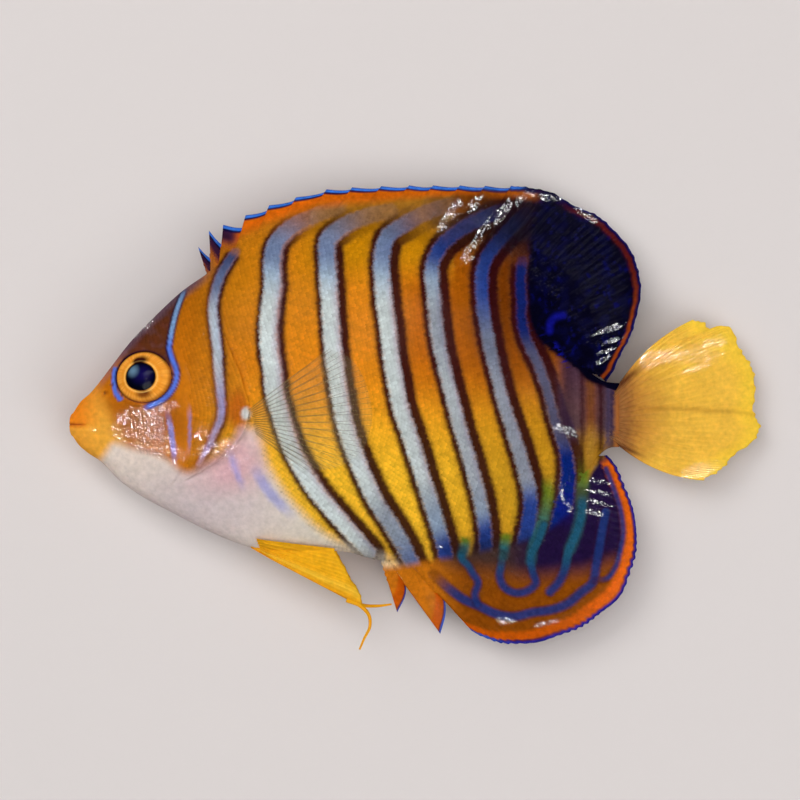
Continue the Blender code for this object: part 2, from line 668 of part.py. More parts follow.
def add_pelvic_fin(name, side):
    """A belly fin that trails back along the belly, with its first ray drawn out to a thread."""

    def height(x, y, out):
        over_belly = float(flank(x, max(y, float(belly(x)) + FIN_CLEARANCE), side))
        hang = ramp(-y, -float(belly(x)), -float(belly(x)) + 6 * MM)
        return side * (over_belly + GAP + FIN_CLEARANCE - PELVIC_HANG * float(hang))

    columns = soft_rays(path(PELVIC_ROOT), path(PELVIC_MARGIN), PELVIC_RAYS)
    fin = add_fin(name, columns, 7, height, 1.6 * FIN_EDGE, "fin_yellow")
    word = "left" if side > 0 else "right"
    thread = [(x * MM, y * MM, height(x * MM, y * MM, 1)) for x, y in PELVIC_THREADS[word]]
    combine(fin, "UNION", [thread_shape(thread)])


def thread_shape(points):
    """A tapering thread through the points, as a closed tube."""
    curve = bpy.data.curves.new("thread", "CURVE")
    curve.dimensions = "3D"
    curve.bevel_depth = THREAD_RADIUS
    curve.bevel_resolution = 1
    curve.use_fill_caps = True
    curve.resolution_u = 4
    spline = curve.splines.new("BEZIER")
    spline.bezier_points.add(len(points) - 1)
    for index, (node, place) in enumerate(zip(spline.bezier_points, points)):
        node.co = place
        node.handle_left_type = node.handle_right_type = "AUTO"
        node.radius = 1 - THREAD_TAPER * index / (len(points) - 1)
    thread = bpy.data.objects.new("thread", curve)
    cutters.objects.link(thread)
    bpy.context.view_layer.update()
    mesh = bpy.data.meshes.new_from_object(thread.evaluated_get(bpy.context.evaluated_depsgraph_get()))
    bpy.data.objects.remove(thread)
    bm = bmesh.new()
    bm.from_mesh(mesh)
    bmesh.ops.remove_doubles(bm, verts=bm.verts, dist=0.001 * MM)
    bmesh.ops.recalc_face_normals(bm, faces=bm.faces)
    return bm


def set_down():
    """Moves the fish so that the middle of its lowest level is the origin."""
    bpy.context.view_layer.update()
    graph = bpy.context.evaluated_depsgraph_get()
    solids = [piece.evaluated_get(graph) for piece in collection.objects]
    corners = [Vector(corner) for solid in solids for corner in solid.bound_box]
    low = Vector(map(min, zip(*corners)))
    high = Vector(map(max, zip(*corners)))
    fish.location = (-(low.x + high.x) / 2, -(low.y + high.y) / 2, REST_HEIGHT)


for stale in list(bpy.data.objects):
    bpy.data.objects.remove(stale)

collection = bpy.data.collections.new("regal_angelfish")
cutters = bpy.data.collections.new("cutters")
bpy.context.scene.collection.children.link(collection)
bpy.context.scene.collection.children.link(cutters)
fish = bpy.data.objects.new("fish", None)
bpy.context.scene.collection.objects.link(fish)

add_head()
add_torso()
add_tail_root()
add_dorsal_fin()
add_anal_fin()
add_caudal_fin()
for side, word in ((1, "left"), (-1, "right")):
    add_gill_cover(f"gill_cover_{word}", side)
    add_piece(f"eye_{word}", eye_shape(side, 0), "eye")
    add_pectoral_fin(f"pectoral_fin_{word}", side)
    add_pelvic_fin(f"pelvic_fin_{word}", side)
set_down()
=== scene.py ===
# %% [markdown]
# # A regal angelfish, life size
# The fish lies on its right side and is seen from straight above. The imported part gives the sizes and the
# place of every solid. This lesson dresses it: one skin, scales, fins with rays, eyes, and a wet coat on all.
# Each step says what the thing is on a real fish, how it could be made, and why it is made this way.

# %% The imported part, and the fish's own frame
import math

import bmesh
import bpy
import numpy as np
from mathutils import Matrix, Vector, noise


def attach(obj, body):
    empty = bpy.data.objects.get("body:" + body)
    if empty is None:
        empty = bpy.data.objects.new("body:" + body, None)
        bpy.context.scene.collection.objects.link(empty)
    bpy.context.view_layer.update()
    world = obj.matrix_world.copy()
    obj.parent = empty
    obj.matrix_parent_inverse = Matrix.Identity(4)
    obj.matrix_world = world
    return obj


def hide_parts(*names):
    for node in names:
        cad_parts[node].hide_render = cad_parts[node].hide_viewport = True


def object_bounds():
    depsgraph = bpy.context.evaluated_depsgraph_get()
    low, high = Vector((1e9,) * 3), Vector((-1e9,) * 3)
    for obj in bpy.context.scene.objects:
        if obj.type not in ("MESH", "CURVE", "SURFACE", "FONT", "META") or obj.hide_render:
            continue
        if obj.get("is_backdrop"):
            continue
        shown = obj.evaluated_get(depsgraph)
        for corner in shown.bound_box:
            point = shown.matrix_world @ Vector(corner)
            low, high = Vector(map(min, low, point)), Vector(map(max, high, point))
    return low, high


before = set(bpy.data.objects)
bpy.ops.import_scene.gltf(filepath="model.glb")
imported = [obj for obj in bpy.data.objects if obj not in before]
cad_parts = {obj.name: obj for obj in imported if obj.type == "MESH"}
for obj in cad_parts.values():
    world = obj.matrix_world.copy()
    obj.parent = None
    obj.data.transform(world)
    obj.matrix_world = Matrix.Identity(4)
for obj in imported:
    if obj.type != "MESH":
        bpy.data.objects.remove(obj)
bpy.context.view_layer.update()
MM = 0.001
# The snout's place in the part. The fish is drawn from there in millimetres: X to the tail, Y to the back
SNOUT = np.array([-43.3824, 2.0904, 6.2])
SIDES = (1, "left"), (-1, "right")

# %% [markdown]
# ## Camera, floor and light
# The photo looks straight down on the flank. A long lens 0.4 m above the fish keeps its outline true. The
# floor is a plain pale sheet. Three broad soft lamps give the even light, and small bright ones close to the
# camera give the glints that tell the eye that the skin is wet.

# %% Camera, floor and light
VIEW_WIDTH, VIEW_HEIGHT = 100.0, 400.0
VIEW_CENTRE = (41.25, 0.0)
SENSOR, NEAR_CLIP, FAR_CLIP = 36.0, 0.01, 10
FLOOR_HALF = 3.0


def to_frame(points):
    """Points of the fish's own frame, in millimetres, as points of the part's frame, in metres."""
    return (np.asarray(points, float) + SNOUT) * MM


camera = bpy.data.objects.new("camera", bpy.data.cameras.new("camera"))
bpy.context.scene.collection.objects.link(camera)
camera.data.sensor_width = SENSOR
camera.data.lens = SENSOR * VIEW_HEIGHT / VIEW_WIDTH
camera.data.clip_start, camera.data.clip_end = NEAR_CLIP, FAR_CLIP
camera.location = to_frame((*VIEW_CENTRE, VIEW_HEIGHT))
bpy.context.scene.camera = camera
bpy.context.scene.view_settings.view_transform = "Standard"


def srgb(red, green, blue):
    """A colour given as it looks on a screen, from 0 to 255, as the linear value that a shader takes."""
    share = np.array([red, green, blue]) / 255
    return np.where(share <= 0.04045, share / 12.92, ((share + 0.055) / 1.055) ** 2.4)


def plug(node, **settings):
    """Sets up a node. A name in lower case is a property, and one in capitals an input, with _ for each space or
    before its number. An input that is given a socket is linked to it."""
    for key, value in settings.items():
        if key[0].islower():
            setattr(node, key, value)
            continue
        socket = node.inputs[int(key[1:]) if key[0] == "_" else key.replace("_", " ")]
        if isinstance(value, bpy.types.NodeSocket):
            node.id_data.links.new(value, socket)
        else:
            socket.default_value = value
    return node


def adder(tree):
    """A helper that adds a node to a tree and sets it up."""
    return lambda kind, **settings: plug(tree.nodes.new(kind), **settings)


def new_material(name):
    """A material, its Principled shader and a helper that adds a node."""
    material = bpy.data.materials.new(name)
    material.use_nodes = True
    return material, material.node_tree.nodes["Principled BSDF"], adder(material.node_tree)


floor_mesh = bpy.data.meshes.new("floor")
corners = [(FLOOR_HALF * a, FLOOR_HALF * b, 0) for a, b in ((-1, -1), (1, -1), (1, 1), (-1, 1))]
floor_mesh.from_pydata(corners, [], [(0, 1, 2, 3)])
floor = bpy.data.objects.new("floor", floor_mesh)
bpy.context.scene.collection.objects.link(floor)
material, shader, _ = new_material("pale_floor")
plug(shader, Base_Color=(*srgb(219, 212, 210), 1), Roughness=0.9, Specular_IOR_Level=0.0)
floor_mesh.materials.append(material)
floor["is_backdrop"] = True

LAMPS = {
    # name: place in mm from the middle of the view, size in mm, power in watts
    "key": ((-330, 300, 520), (420, 320), 1.75),
    "fill": ((360, -300, 480), (420, 320), 1.32),
    "overhead": ((20, 40, 700), (700, 600), 2.85),
    "glint_top": ((50, 130, 395), (150, 110), 13.0),
    "glint_side": ((-170, -100, 380), (130, 170), 17.0),
    "glint_low": ((170, -120, 380), (150, 110), 13.0),
    "glint_far": ((-160, 170, 360), (150, 110), 12.0),
    "glint_dot": ((-168, 30, 380), (24, 24), 12.0),
}
for name, (place, size, power) in LAMPS.items():
    lamp = bpy.data.lights.new(name, "AREA")
    lamp.shape = "RECTANGLE"
    lamp.size, lamp.size_y = size[0] * MM, size[1] * MM
    lamp.energy = power
    holder = bpy.data.objects.new(name, lamp)
    holder.location = np.array(place) * MM
    holder.rotation_euler = (-Vector(place)).to_track_quat("-Z", "Y").to_euler()
    # Broad lamps only light, and glints only mirror, so neither spoils the work of the other
    holder.visible_glossy = name.startswith("glint")
    holder.visible_diffuse = not name.startswith("glint")
    bpy.context.scene.collection.objects.link(holder)
# The room is bright low down and dark overhead, so that what looks up at the camera mirrors little light
SKY_LOW, SKY_TOP = 0.25, 0.04
world = bpy.data.worlds.new("room")
world.use_nodes = True
add = adder(world.node_tree)
upward = add("ShaderNodeSeparateXYZ", Vector=add("ShaderNodeTexCoord").outputs["Generated"]).outputs["Z"]
level = add("ShaderNodeMapRange", Value=upward, From_Min=0.2, From_Max=0.95, To_Min=SKY_LOW, To_Max=SKY_TOP)
background = world.node_tree.nodes["Background"]
plug(background, Color=(*srgb(240, 241, 243), 1), Strength=level.outputs["Result"])
bpy.context.scene.world = world

# %% [markdown]
# ## The outline of the flesh
# A fish's body is a stack of lens-shaped sections. These are the same named sizes as in the part's source:
# where the back and the belly are at each distance from the snout, how wide the body is, and how keeled its
# edges are. The curves run smoothly through a few measured points, which beats hundreds of loose ones.

# %% The outline of the flesh
BACK_LINE = (
    (0.4, -1.6), (1.25, -0.3), (2.5, 0.85), (5, 3.95), (7.5, 7.2), (11.25, 11.1), (14, 13.6), (17, 15.7),
    (20.5, 18.3), (24.5, 19.9), (32, 20.9), (39, 20.4), (46, 18.8), (51.5, 16.4), (56.5, 12.5), (60.5, 8.2),
    (64, 4.4), (66.5, 2.5), (69, 2.1),
)
BELLY_LINE = (
    (0.4, -4.6), (1.0, -5.5), (2, -6.45), (4, -7.8), (6.25, -10.1), (8, -11.4), (13, -14.2), (18, -16.7),
    (23.5, -18.7), (29, -19.1), (34, -18.9), (39, -20), (45, -19.2), (51.5, -18), (57, -16.6), (61, -14.4),
    (63.5, -11.6), (65.3, -8), (67, -6.2), (69, -5.9),
)
HALF_WIDTH = (
    (0.4, 1.15), (1.25, 1.7), (2.5, 2.35), (5, 3.25), (9, 4.4), (13, 5.25), (17, 5.85), (22, 6.2), (28, 6.35),
    (34, 6.3), (40, 5.75), (46, 4.85), (52, 3.8), (58, 2.75), (63, 2.0), (67, 1.45), (69, 1.2),
)
BACK_SHARPNESS = ((0.4, 0.9), (10, 0.85), (20, 1.0), (30, 1.15), (69, 1.1))
BELLY_SHARPNESS = ((0.4, 0.9), (10, 0.8), (34, 0.8), (42, 1.1), (69, 1.1))
BACK_EDGE = ((0.4, 0.2), (14, 0.25), (18, 0.65), (69, 0.6))
BELLY_EDGE = ((0.4, 0.2), (35, 0.3), (40, 0.65), (69, 0.6))
GILL_LINE = (
    (17, 15.7), (20, 6.9), (21.9, 2), (22.6, -1.5), (22, -4), (20, -6.5), (16.25, -9), (11.9, -11.4),
    (10, -12.5),
)
REST_HEIGHT, FLESH_START, FLESH_END = 6.2, 0.4, 68.6


def smooth_curve(knots):
    """A smooth curve through points given as (parameter, value, ...), as a function of the parameter."""
    table = np.asarray(knots, float)
    at, values = table[:, 0], table[:, 1:]
    step = np.diff(at)[:, None]
    slope = np.diff(values, axis=0) / step
    middle = (slope[:-1] * step[1:] + slope[1:] * step[:-1]) / (step[:-1] + step[1:])
    tangent = np.vstack([slope[:1], middle, slope[-1:]])

    def value(q):
        q = np.clip(np.asarray(q, float), at[0], at[-1])
        i = np.clip(np.searchsorted(at, q, side="right") - 1, 0, len(step) - 1)
        w = ((q - at[i]) / step[i, 0])[..., None]
        found = (
            values[i] * (1 + 2 * w) * (1 - w) ** 2
            + tangent[i] * step[i] * w * (1 - w) ** 2
            + values[i + 1] * w**2 * (3 - 2 * w)
            - tangent[i + 1] * step[i] * w**2 * (1 - w)
        )
        return found[..., 0] if found.shape[-1] == 1 else found

    return value


def path(points, samples=240):
    """A smooth path through (x, y) points, as a function of the share of its length."""
    table = np.asarray(points, float)
    chord = np.concatenate([[0], np.cumsum(np.linalg.norm(np.diff(table, axis=0), axis=1))])
    fine = smooth_curve(np.column_stack([chord, table]))(np.linspace(0, chord[-1], samples))
    run = np.concatenate([[0], np.cumsum(np.linalg.norm(np.diff(fine, axis=0), axis=1))])
    return lambda share: np.column_stack(
        [np.interp(np.asarray(share) * run[-1], run, fine[:, axis]) for axis in range(fine.shape[1])]
    )


def bump(distance, width):
    """A smooth hill, 1 in the middle and near 0 past its width."""
    return np.exp(-((distance / width) ** 2))


def ramp(value, start, end):
    """0 before start, 1 after end, and smooth in between."""
    share = np.clip((value - start) / (end - start), 0, 1)
    return share * share * (3 - 2 * share)


back, belly, half_width = smooth_curve(BACK_LINE), smooth_curve(BELLY_LINE), smooth_curve(HALF_WIDTH)
back_sharpness, belly_sharpness = smooth_curve(BACK_SHARPNESS), smooth_curve(BELLY_SHARPNESS)
back_edge, belly_edge = smooth_curve(BACK_EDGE), smooth_curve(BELLY_EDGE)


def angle_at(x, y):
    """The angle of the section that passes a height: 0 is the back and pi the belly."""
    middle, half = (back(x) + belly(x)) / 2, (back(x) - belly(x)) / 2
    return np.arccos(np.clip((y - middle) / half, -1, 1))


gill_points = path(GILL_LINE)(np.linspace(0, 1, 120))
GILL_ANGLE = angle_at(gill_points[:, 0], gill_points[:, 1])
GILL_ANGLE[0], GILL_ANGLE[-1] = 0, math.pi


def gill_x(angle):
    """Where a line of constant angle meets the edge of the gill opening."""
    return np.interp(angle, GILL_ANGLE, gill_points[:, 0])


# %% [markdown]
# ## Lines that carry a marking
# Stripes, blue lines and bands all follow a drawn line. One helper measures how far each point of a surface
# lies from such a line, in front of it or behind it, and how far along. Every marking is then a few plain
# comparisons, and the skin, the scales and the fins can all ask the same question and agree.

# %% Lines that carry a marking
# How far from a line its marking may reach, what stands for farther, and how many points are measured at once
REACH, FAR, CHUNK = 5.0, 99.0, 20000


def drawn_line(points, samples=160):
    """Measures points against a smooth line: distance, over 0 to the left of its heading, and its share."""
    line = path(points)(np.linspace(0, 1, samples))
    heading = np.gradient(line, axis=0)
    heading /= np.linalg.norm(heading, axis=1)[:, None]
    low, high = line.min(axis=0) - REACH, line.max(axis=0) + REACH

    def measure(x, y):
        shape = x.shape
        x, y = x.reshape(-1), y.reshape(-1)
        away, share = np.full(x.shape, FAR), np.zeros(x.shape)
        near = np.flatnonzero((x > low[0]) & (x < high[0]) & (y > low[1]) & (y < high[1]))
        for start in range(0, len(near), CHUNK):
            some = near[start : start + CHUNK]
            step = np.stack([x[some, None] - line[:, 0], y[some, None] - line[:, 1]])
            nearest = np.argmin(step[0] ** 2 + step[1] ** 2, axis=1)
            step = step[:, np.arange(len(some)), nearest]
            across = heading[nearest, 0] * step[1] - heading[nearest, 1] * step[0]
            past_end = (nearest == 0) | (nearest == samples - 1)
            away[some] = np.where(past_end, np.copysign(np.hypot(*step), across), across)
            share[some] = nearest / (samples - 1)
        return away.reshape(shape), share.reshape(shape)

    return measure


def measured(lines):
    """A table of drawn lines with their widths, each line as the function that measures from it."""
    return {name: (drawn_line(points), width) for name, (points, width) in lines.items()}


# %% [markdown]
# ## The relief of the skin
# Lips, the rim of the eye socket, nostrils, the edge of the cheek plate, the step at the gill opening and the
# hollow behind it break the smooth form. Each is a small hill or dip added along the skin's own normal.

# %% The relief of the skin
MOUTH_Y, MOUTH_LENGTH, MOUTH_DEPTH = -3.05, 2.3, 0.55
LIP_LENGTH, LIP_HEIGHT, LIP_CENTRE, LIP_WIDTH = 3.4, 0.26, 0.62, 0.4
EYE_X, EYE_Y, EYE_LENGTH, EYE_HEIGHT, EYE_DEPTH, EYE_SUNK = 9.5, 2.9, 3.65, 3.25, 1.5, 0.45
SOCKET_DEPTH, ORBIT_RIM = 1.5, 0.2
NOSTRILS, NOSTRIL_RADIUS, NOSTRIL_DEPTH = ((4.6, 0.9), (5.5, 1.9)), 0.27, 0.4
GILL_STEP, GILL_RAISED = 0.55, 0.25
COVER_TOP_FADE = math.radians(60), math.radians(72)
COVER_BOTTOM_FADE = math.radians(118), math.radians(132)
HOLLOW_X, HOLLOW_Y, HOLLOW_LENGTH, HOLLOW_HEIGHT, HOLLOW_DEPTH = 26, -3, 4.5, 5, 0.6
FOLD_PIVOT, FOLD_TURN = (23.5, -2.0), math.radians(-62)
FOLD_ROOM, FOLD_MIDDLE, FOLD_LENGTH, FOLD_WIDTH = 1.2, 7, 9.5, 6.5
CHEEK_PLATE = drawn_line(((13.3, 7.5), (14.9, 4.5), (15.35, 0), (15.3, -4.5), (14.7, -8.0), (13.6, -9.6)))
CHEEK_STEP = 0.2
SKIN_SUNK = 0.05


def section(x, angle):
    """Height and half thickness of the plain flesh at a distance x."""
    top, bottom = back(x), belly(x)
    upper = angle < math.pi / 2
    edge = np.where(upper, back_edge(x), belly_edge(x))
    sharpness = np.where(upper, back_sharpness(x), belly_sharpness(x))
    thickness = edge + (half_width(x) - edge) * np.abs(np.sin(angle)) ** sharpness
    return (top + bottom) / 2 + (top - bottom) / 2 * np.cos(angle), thickness


def floor_limit(x, y):
    """How far the right flank may reach down: to the floor, or to the fin that is folded under it."""
    from_x, from_y = x - FOLD_PIVOT[0], y - FOLD_PIVOT[1]
    along = from_x * math.cos(FOLD_TURN) + from_y * math.sin(FOLD_TURN)
    across = from_y * math.cos(FOLD_TURN) - from_x * math.sin(FOLD_TURN)
    inside = np.hypot((along - FOLD_MIDDLE) / FOLD_LENGTH, across / FOLD_WIDTH)
    return REST_HEIGHT - FOLD_ROOM * (1 - ramp(inside, 0.9, 1.3))


def coarse_relief(x, y, angle):
    """What the solids have too: lips, orbit, gill step and the hollow behind the gill cover."""
    lips = LIP_HEIGHT * bump(np.abs(y - MOUTH_Y) - LIP_CENTRE, LIP_WIDTH)
    lips = lips * (1 - ramp(x, 0.6 * LIP_LENGTH, LIP_LENGTH))
    from_eye = np.hypot((x - EYE_X) / EYE_LENGTH, (y - EYE_Y) / EYE_HEIGHT)
    orbit = ORBIT_RIM * bump(from_eye - 1.05, 0.16)
    beside = ramp(angle, *COVER_TOP_FADE) * (1 - ramp(angle, *COVER_BOTTOM_FADE))
    behind = x - gill_x(angle)
    step = -GILL_STEP * beside * np.where(behind > 1e-6, bump(behind, 3), 0)
    raised = GILL_RAISED * beside * np.where(behind > 1e-6, 0, bump(behind, 2.2))
    hollow_at = np.hypot((x - HOLLOW_X) / HOLLOW_LENGTH, (y - HOLLOW_Y) / HOLLOW_HEIGHT)
    hollow = -HOLLOW_DEPTH * bump(hollow_at, 0.85) * np.where(behind > 1e-6, 1, 0)
    return lips + orbit + raised + np.minimum(step, hollow)


def fine_relief(x, y, angle):
    """What only the skin has: the cleft of the mouth, the socket, nostrils and the edge of the cheek plate."""
    slit = bump(y - MOUTH_Y + 0.12 * np.sin(1.4 * x), 0.13 + 0.1 * (1 - ramp(x, 0, MOUTH_LENGTH)))
    dip = -MOUTH_DEPTH * slit * (1 - ramp(x, 0.7 * MOUTH_LENGTH, MOUTH_LENGTH))
    from_eye = np.hypot((x - EYE_X) / EYE_LENGTH, (y - EYE_Y) / EYE_HEIGHT)
    dip = dip - SOCKET_DEPTH * (1 - ramp(from_eye, 0.86, 0.99))
    lid_fold = 0.07 * bump(from_eye - 1.09, 0.035) - 0.06 * bump(from_eye - 1.19, 0.05)
    for place_x, place_y in NOSTRILS:
        away = np.hypot(x - place_x, y - place_y)
        dip = dip - NOSTRIL_DEPTH * bump(away, NOSTRIL_RADIUS) + 0.1 * bump(away - 0.42, 0.12)
    from_plate, _ = CHEEK_PLATE(x, y)
    plate = CHEEK_STEP * np.where(from_plate < 0, bump(from_plate, 1.6), 0) * (1 - ramp(from_plate, -0.08, 0.08))
    return dip + lid_fold + plate


def flesh(x, angle, side, raised=0.0, fine=True):
    """Points on the skin; side is 1 for the left flank and -1 for the right, which the floor flattens."""
    y, z = section(x, angle)
    lift = coarse_relief(x, y, angle) + raised
    if fine:
        lift = lift + fine_relief(x, y, angle)
    outward_z = np.sin(angle) * (back(x) - belly(x)) / 2
    outward_y = np.cos(angle) * half_width(x)
    length = np.hypot(outward_y, outward_z)
    y, z = y + lift * outward_y / length, z + lift * outward_z / length
    if side < 0:
        z = np.minimum(z, floor_limit(x, y) + raised)
    return np.stack([x + 0 * angle, y, side * np.maximum(z, 0.1)], axis=-1)


def flank(x, y, side):
    """Half thickness of the solids' flesh at a place seen from the side."""
    angle = angle_at(x, y)
    thickness = section(x, angle)[1] + coarse_relief(x, y, angle)
    return np.minimum(thickness, floor_limit(x, y)) if side < 0 else thickness

# %% [markdown]
# ## The colours and the stripes
# Pale blue stripes with dark maroon borders run down an orange flank, bend back at the top and fade into the
# back fin. Each stripe is a drawn line with its own widths. Colours are named once here, and every surface of
# the fish mixes them by the same rules, layer over layer, as a painter of museum models would.

# %% The colours
TINTS = {name: srgb(*value) for name, value in {
    "orange": (222, 132, 24), "ochre": (202, 124, 16), "deep orange": (182, 92, 8), "yellow": (240, 184, 44),
    "gold": (242, 170, 36), "dusk": (116, 88, 58), "maroon": (46, 6, 14),
    "rust": (116, 58, 40), "pale": (202, 209, 206), "lilac": (180, 164, 178), "slate": (100, 114, 152),
    "mauve": (146, 112, 120), "rear ochre": (166, 114, 18), "burnt": (100, 46, 4), "golden": (194, 130, 8),
    "steel": (140, 164, 190), "blue": (20, 50, 128), "night blue": (14, 22, 124), "navy": (5, 4, 22),
    "violet": (60, 50, 78), "snout": (238, 128, 22), "chin": (238, 170, 62), "face": (186, 102, 12),
    "forehead": (84, 42, 26), "brow": (112, 98, 124), "eye blue": (84, 116, 216), "line blue": (128, 162, 206),
    "cream": (222, 206, 194), "rose": (200, 150, 158), "belly": (212, 202, 186), "wash": (128, 136, 206),
    "flap": (186, 92, 20),
    "rim blue": (58, 116, 216), "rim violet": (38, 36, 136), "ink": (16, 12, 52), "fin orange": (214, 98, 10),
    "fin brown": (170, 84, 14), "anal blue": (26, 48, 108), "teal": (30, 98, 108), "green": (96, 118, 30),
    "tail": (240, 186, 70), "tail root": (176, 116, 56), "brown": (112, 66, 34),
    "pelvic": (242, 176, 30),
}.items()}

# %% The stripes
# Line from the top of each stripe down, then half width at the top, middle and bottom
STRIPES = {
    "first": (
        ((20.6, 18.4), (18.9, 15.2), (18.1, 11.4), (18.4, 8.6), (18.8, 5.6), (18.9, 3.4), (19.1, 1.1),
         (19.2, -2.0), (18.4, -4.0), (17.6, -5.8), (16.4, -7.9)), (0.6, 0.56, 0.3),
    ),
    "second": (
        ((33.4, 24.0), (30.5, 23.0), (27.6, 21.5), (25.9, 19.6), (25.4, 17.2), (25.5, 14.4), (25.2, 11.4),
         (25.0, 8.6), (25.1, 6.2), (25.5, 3.8), (25.7, 1.2), (26.4, -1.4), (27.1, -3.8), (28.0, -6.2),
         (29.3, -8.7), (31.0, -11.4), (33.2, -14.1), (35.2, -16.4), (37.4, -19.0)), (1.0, 1.1, 0.9),
    ),
    "third": (
        ((40.0, 23.6), (36.9, 22.9), (34.2, 21.7), (32.3, 19.9), (32.2, 17.2), (32.4, 14.4), (32.6, 11.4),
         (32.8, 8.6), (33.1, 5.4), (33.5, 2.5), (33.9, 0.0), (34.4, -2.6), (35.1, -5.0), (36.0, -7.5),
         (37.0, -9.8), (38.2, -12.4), (39.9, -15.1), (41.5, -17.8), (42.9, -20.8)), (1.05, 1.05, 0.95),
    ),
    "fourth": (
        ((47.5, 24.4), (44.4, 23.4), (41.9, 22.0), (39.7, 20.3), (39.0, 17.6), (39.1, 14.4), (39.4, 11.4),
         (39.8, 8.6), (40.1, 5.6), (40.6, 2.8), (41.3, -0.9), (42.3, -3.9), (43.1, -6.4), (43.9, -9.0),
         (44.7, -11.5), (45.4, -13.8), (46.1, -16.1), (46.7, -18.3), (47.3, -21.0)), (1.0, 1.0, 0.9),
    ),
    "fifth": (
        ((54.2, 23.8), (52.2, 23.0), (50.0, 22.0), (48.0, 20.7), (46.2, 18.9), (45.2, 16.4), (45.3, 14.0),
         (45.5, 11.8), (45.7, 9.7), (46.0, 7.4), (46.5, 5.0), (47.2, 2.2), (48.0, -0.9), (48.8, -3.9),
         (49.7, -6.8), (50.4, -9.4), (51.1, -12.0), (51.6, -14.6), (51.9, -17.2), (51.9, -18.9), (51.6, -21.0)),
        (0.95, 0.8, 0.85),
    ),
    "sixth": (
        ((57.0, 23.3), (55.4, 21.8), (53.7, 20.0), (52.3, 18.2), (51.5, 16.2), (51.4, 13.6), (51.6, 10.8),
         (52.1, 8.0), (52.6, 5.4), (53.3, 2.7), (54.1, -0.4), (55.0, -3.2), (55.9, -6.0), (56.7, -8.8),
         (57.3, -11.1), (57.5, -13.5), (57.1, -16.0), (56.6, -18.6), (56.0, -20.5)), (0.9, 0.74, 1.0),
    ),
    "seventh": (
        ((56.5, 17.3), (56.3, 14.9), (56.4, 12.4), (56.4, 10.0), (56.8, 8.0), (57.6, 6.1), (58.5, 4.2),
         (59.1, 2.5), (59.7, 0.6), (60.4, -2.2), (61.2, -4.4), (61.9, -6.6), (62.2, -9.2), (61.9, -12.0),
         (61.2, -15.2), (60.4, -18.9)), (0.7, 0.62, 1.3),
    ),
}
BLUE_LINES = {
    "nape": (
        ((14.6, 14.1), (14.0, 12.5), (13.5, 10.9), (13.1, 9.1), (12.85, 7.5), (12.75, 6.2), (13.1, 5.1), (13.6, 4.0),
         (13.7, 2.9), (13.4, 1.8), (12.6, 0.6), (11.6, -0.15), (10.5, -0.65), (9.4, -1.1)), 0.25,
    ),
    "before eye": (((5.85, 4.2), (5.75, 2.9), (5.8, 1.9), (6.1, 0.8), (6.8, -0.15)), 0.28),
    "cheek": (((12.4, -1.0), (12.9, -3.1), (13.2, -5.4), (13.5, -8.7)), 0.3),
    "plate": (((15.3, -0.1), (15.35, -3.8), (15.2, -7.2)), 0.16),
    "root": (((20.0, -5.6), (20.8, -8.1), (22.2, -11.6)), 0.36),
    "chest": (((22.8, -7.4), (24.8, -10.9), (28.6, -15.0)), 0.62),
}
FAINT_LINES = ("cheek", "plate", "root", "chest")
BELLY_EDGE_LINE = (
    (-1.0, -10.5), (2.3, -7.6), (3.7, -7.4), (4.7, -6.3), (5.4, -5.4), (8.3, -5.9), (12.1, -7.0), (15.0, -8.8),
    (17.7, -7.4),
    (20.2, -5.6), (21.9, -3.1), (23.0, -3.3), (25.3, -8.3), (28.3, -12.8), (32.6, -16.8), (40.0, -19.5), (46, -24),
)
measured_stripes = measured(STRIPES)
measured_lines = measured(BLUE_LINES)
belly_edge_line = drawn_line(BELLY_EDGE_LINE)


def lay(colour, tint, share):
    """One layer of a tint over the colours so far, by a share from 0 to 1."""
    tint = TINTS[tint] if isinstance(tint, str) else tint
    return colour + (tint - colour) * (np.clip(share, 0, 1) * np.ones(len(colour)))[:, None]


def layers(colour, *coats):
    """Lays several tints on, one after the other, each with its share."""
    for tint, share in coats:
        colour = lay(colour, tint, share)
    return colour


def blot(x, y, at_x, at_y, half_x, half_y, soft=0.35):
    """1 inside an oval and 0 outside, with a soft edge."""
    away = np.hypot((x - at_x) / half_x, (y - at_y) / half_y)
    return 1 - ramp(away, 1 - soft, 1 + soft)


def wander(x, y, size, seed):
    """A smooth random value from about -1 to 1 for each point, always the same for one seed."""
    return np.array([noise.noise((a / size, b / size, seed)) for a, b in zip(x, y)])


def three(values, share):
    """A value that runs from the first over the second to the third along a line."""
    return np.interp(share, (0, 0.5, 1), values)


GREEN_BANDS = dict(enumerate((
    (((59.5, -9.0), (59.7, -11.5), (59.3, -14.0), (58.7, -16.2), (57.8, -18.6), (57.6, -20.2)), 0.55),
    (((64.2, -6.6), (64.2, -9.0), (64.0, -12.0), (63.8, -14.5), (63.2, -16.8), (62.5, -18.6)), 0.6),
    (((54.6, -16.4), (54.3, -18.2), (54.1, -19.6)), 0.5), (((49.4, -16.8), (49.3, -18.2), (49.0, -19.4)), 0.5),
)))
green_bands = measured(GREEN_BANDS)
NAVY_FRONT = drawn_line((
    (60.6, 29.0), (59.5, 25.6), (58.7, 22.5), (57.9, 19.5), (57.3, 16.5), (57.35, 12.5), (57.6, 9.6), (58.4, 7.7),
    (60.0, 6.1), (61.8, 5.0), (63.2, 3.9), (64.6, 2.4), (66.8, 1.6),
))


def navy_share(x, y):
    """1 in the dark field that fills the rear lobe of the back fin and the corner of the flank below it."""
    behind, _ = NAVY_FRONT(x, y)
    soft = 0.35 + 1.3 * ramp(y, 17, 22)
    return np.where(behind > FAR - 1, (x > 61) & (y > 3), ramp(behind, -soft, 0.3))


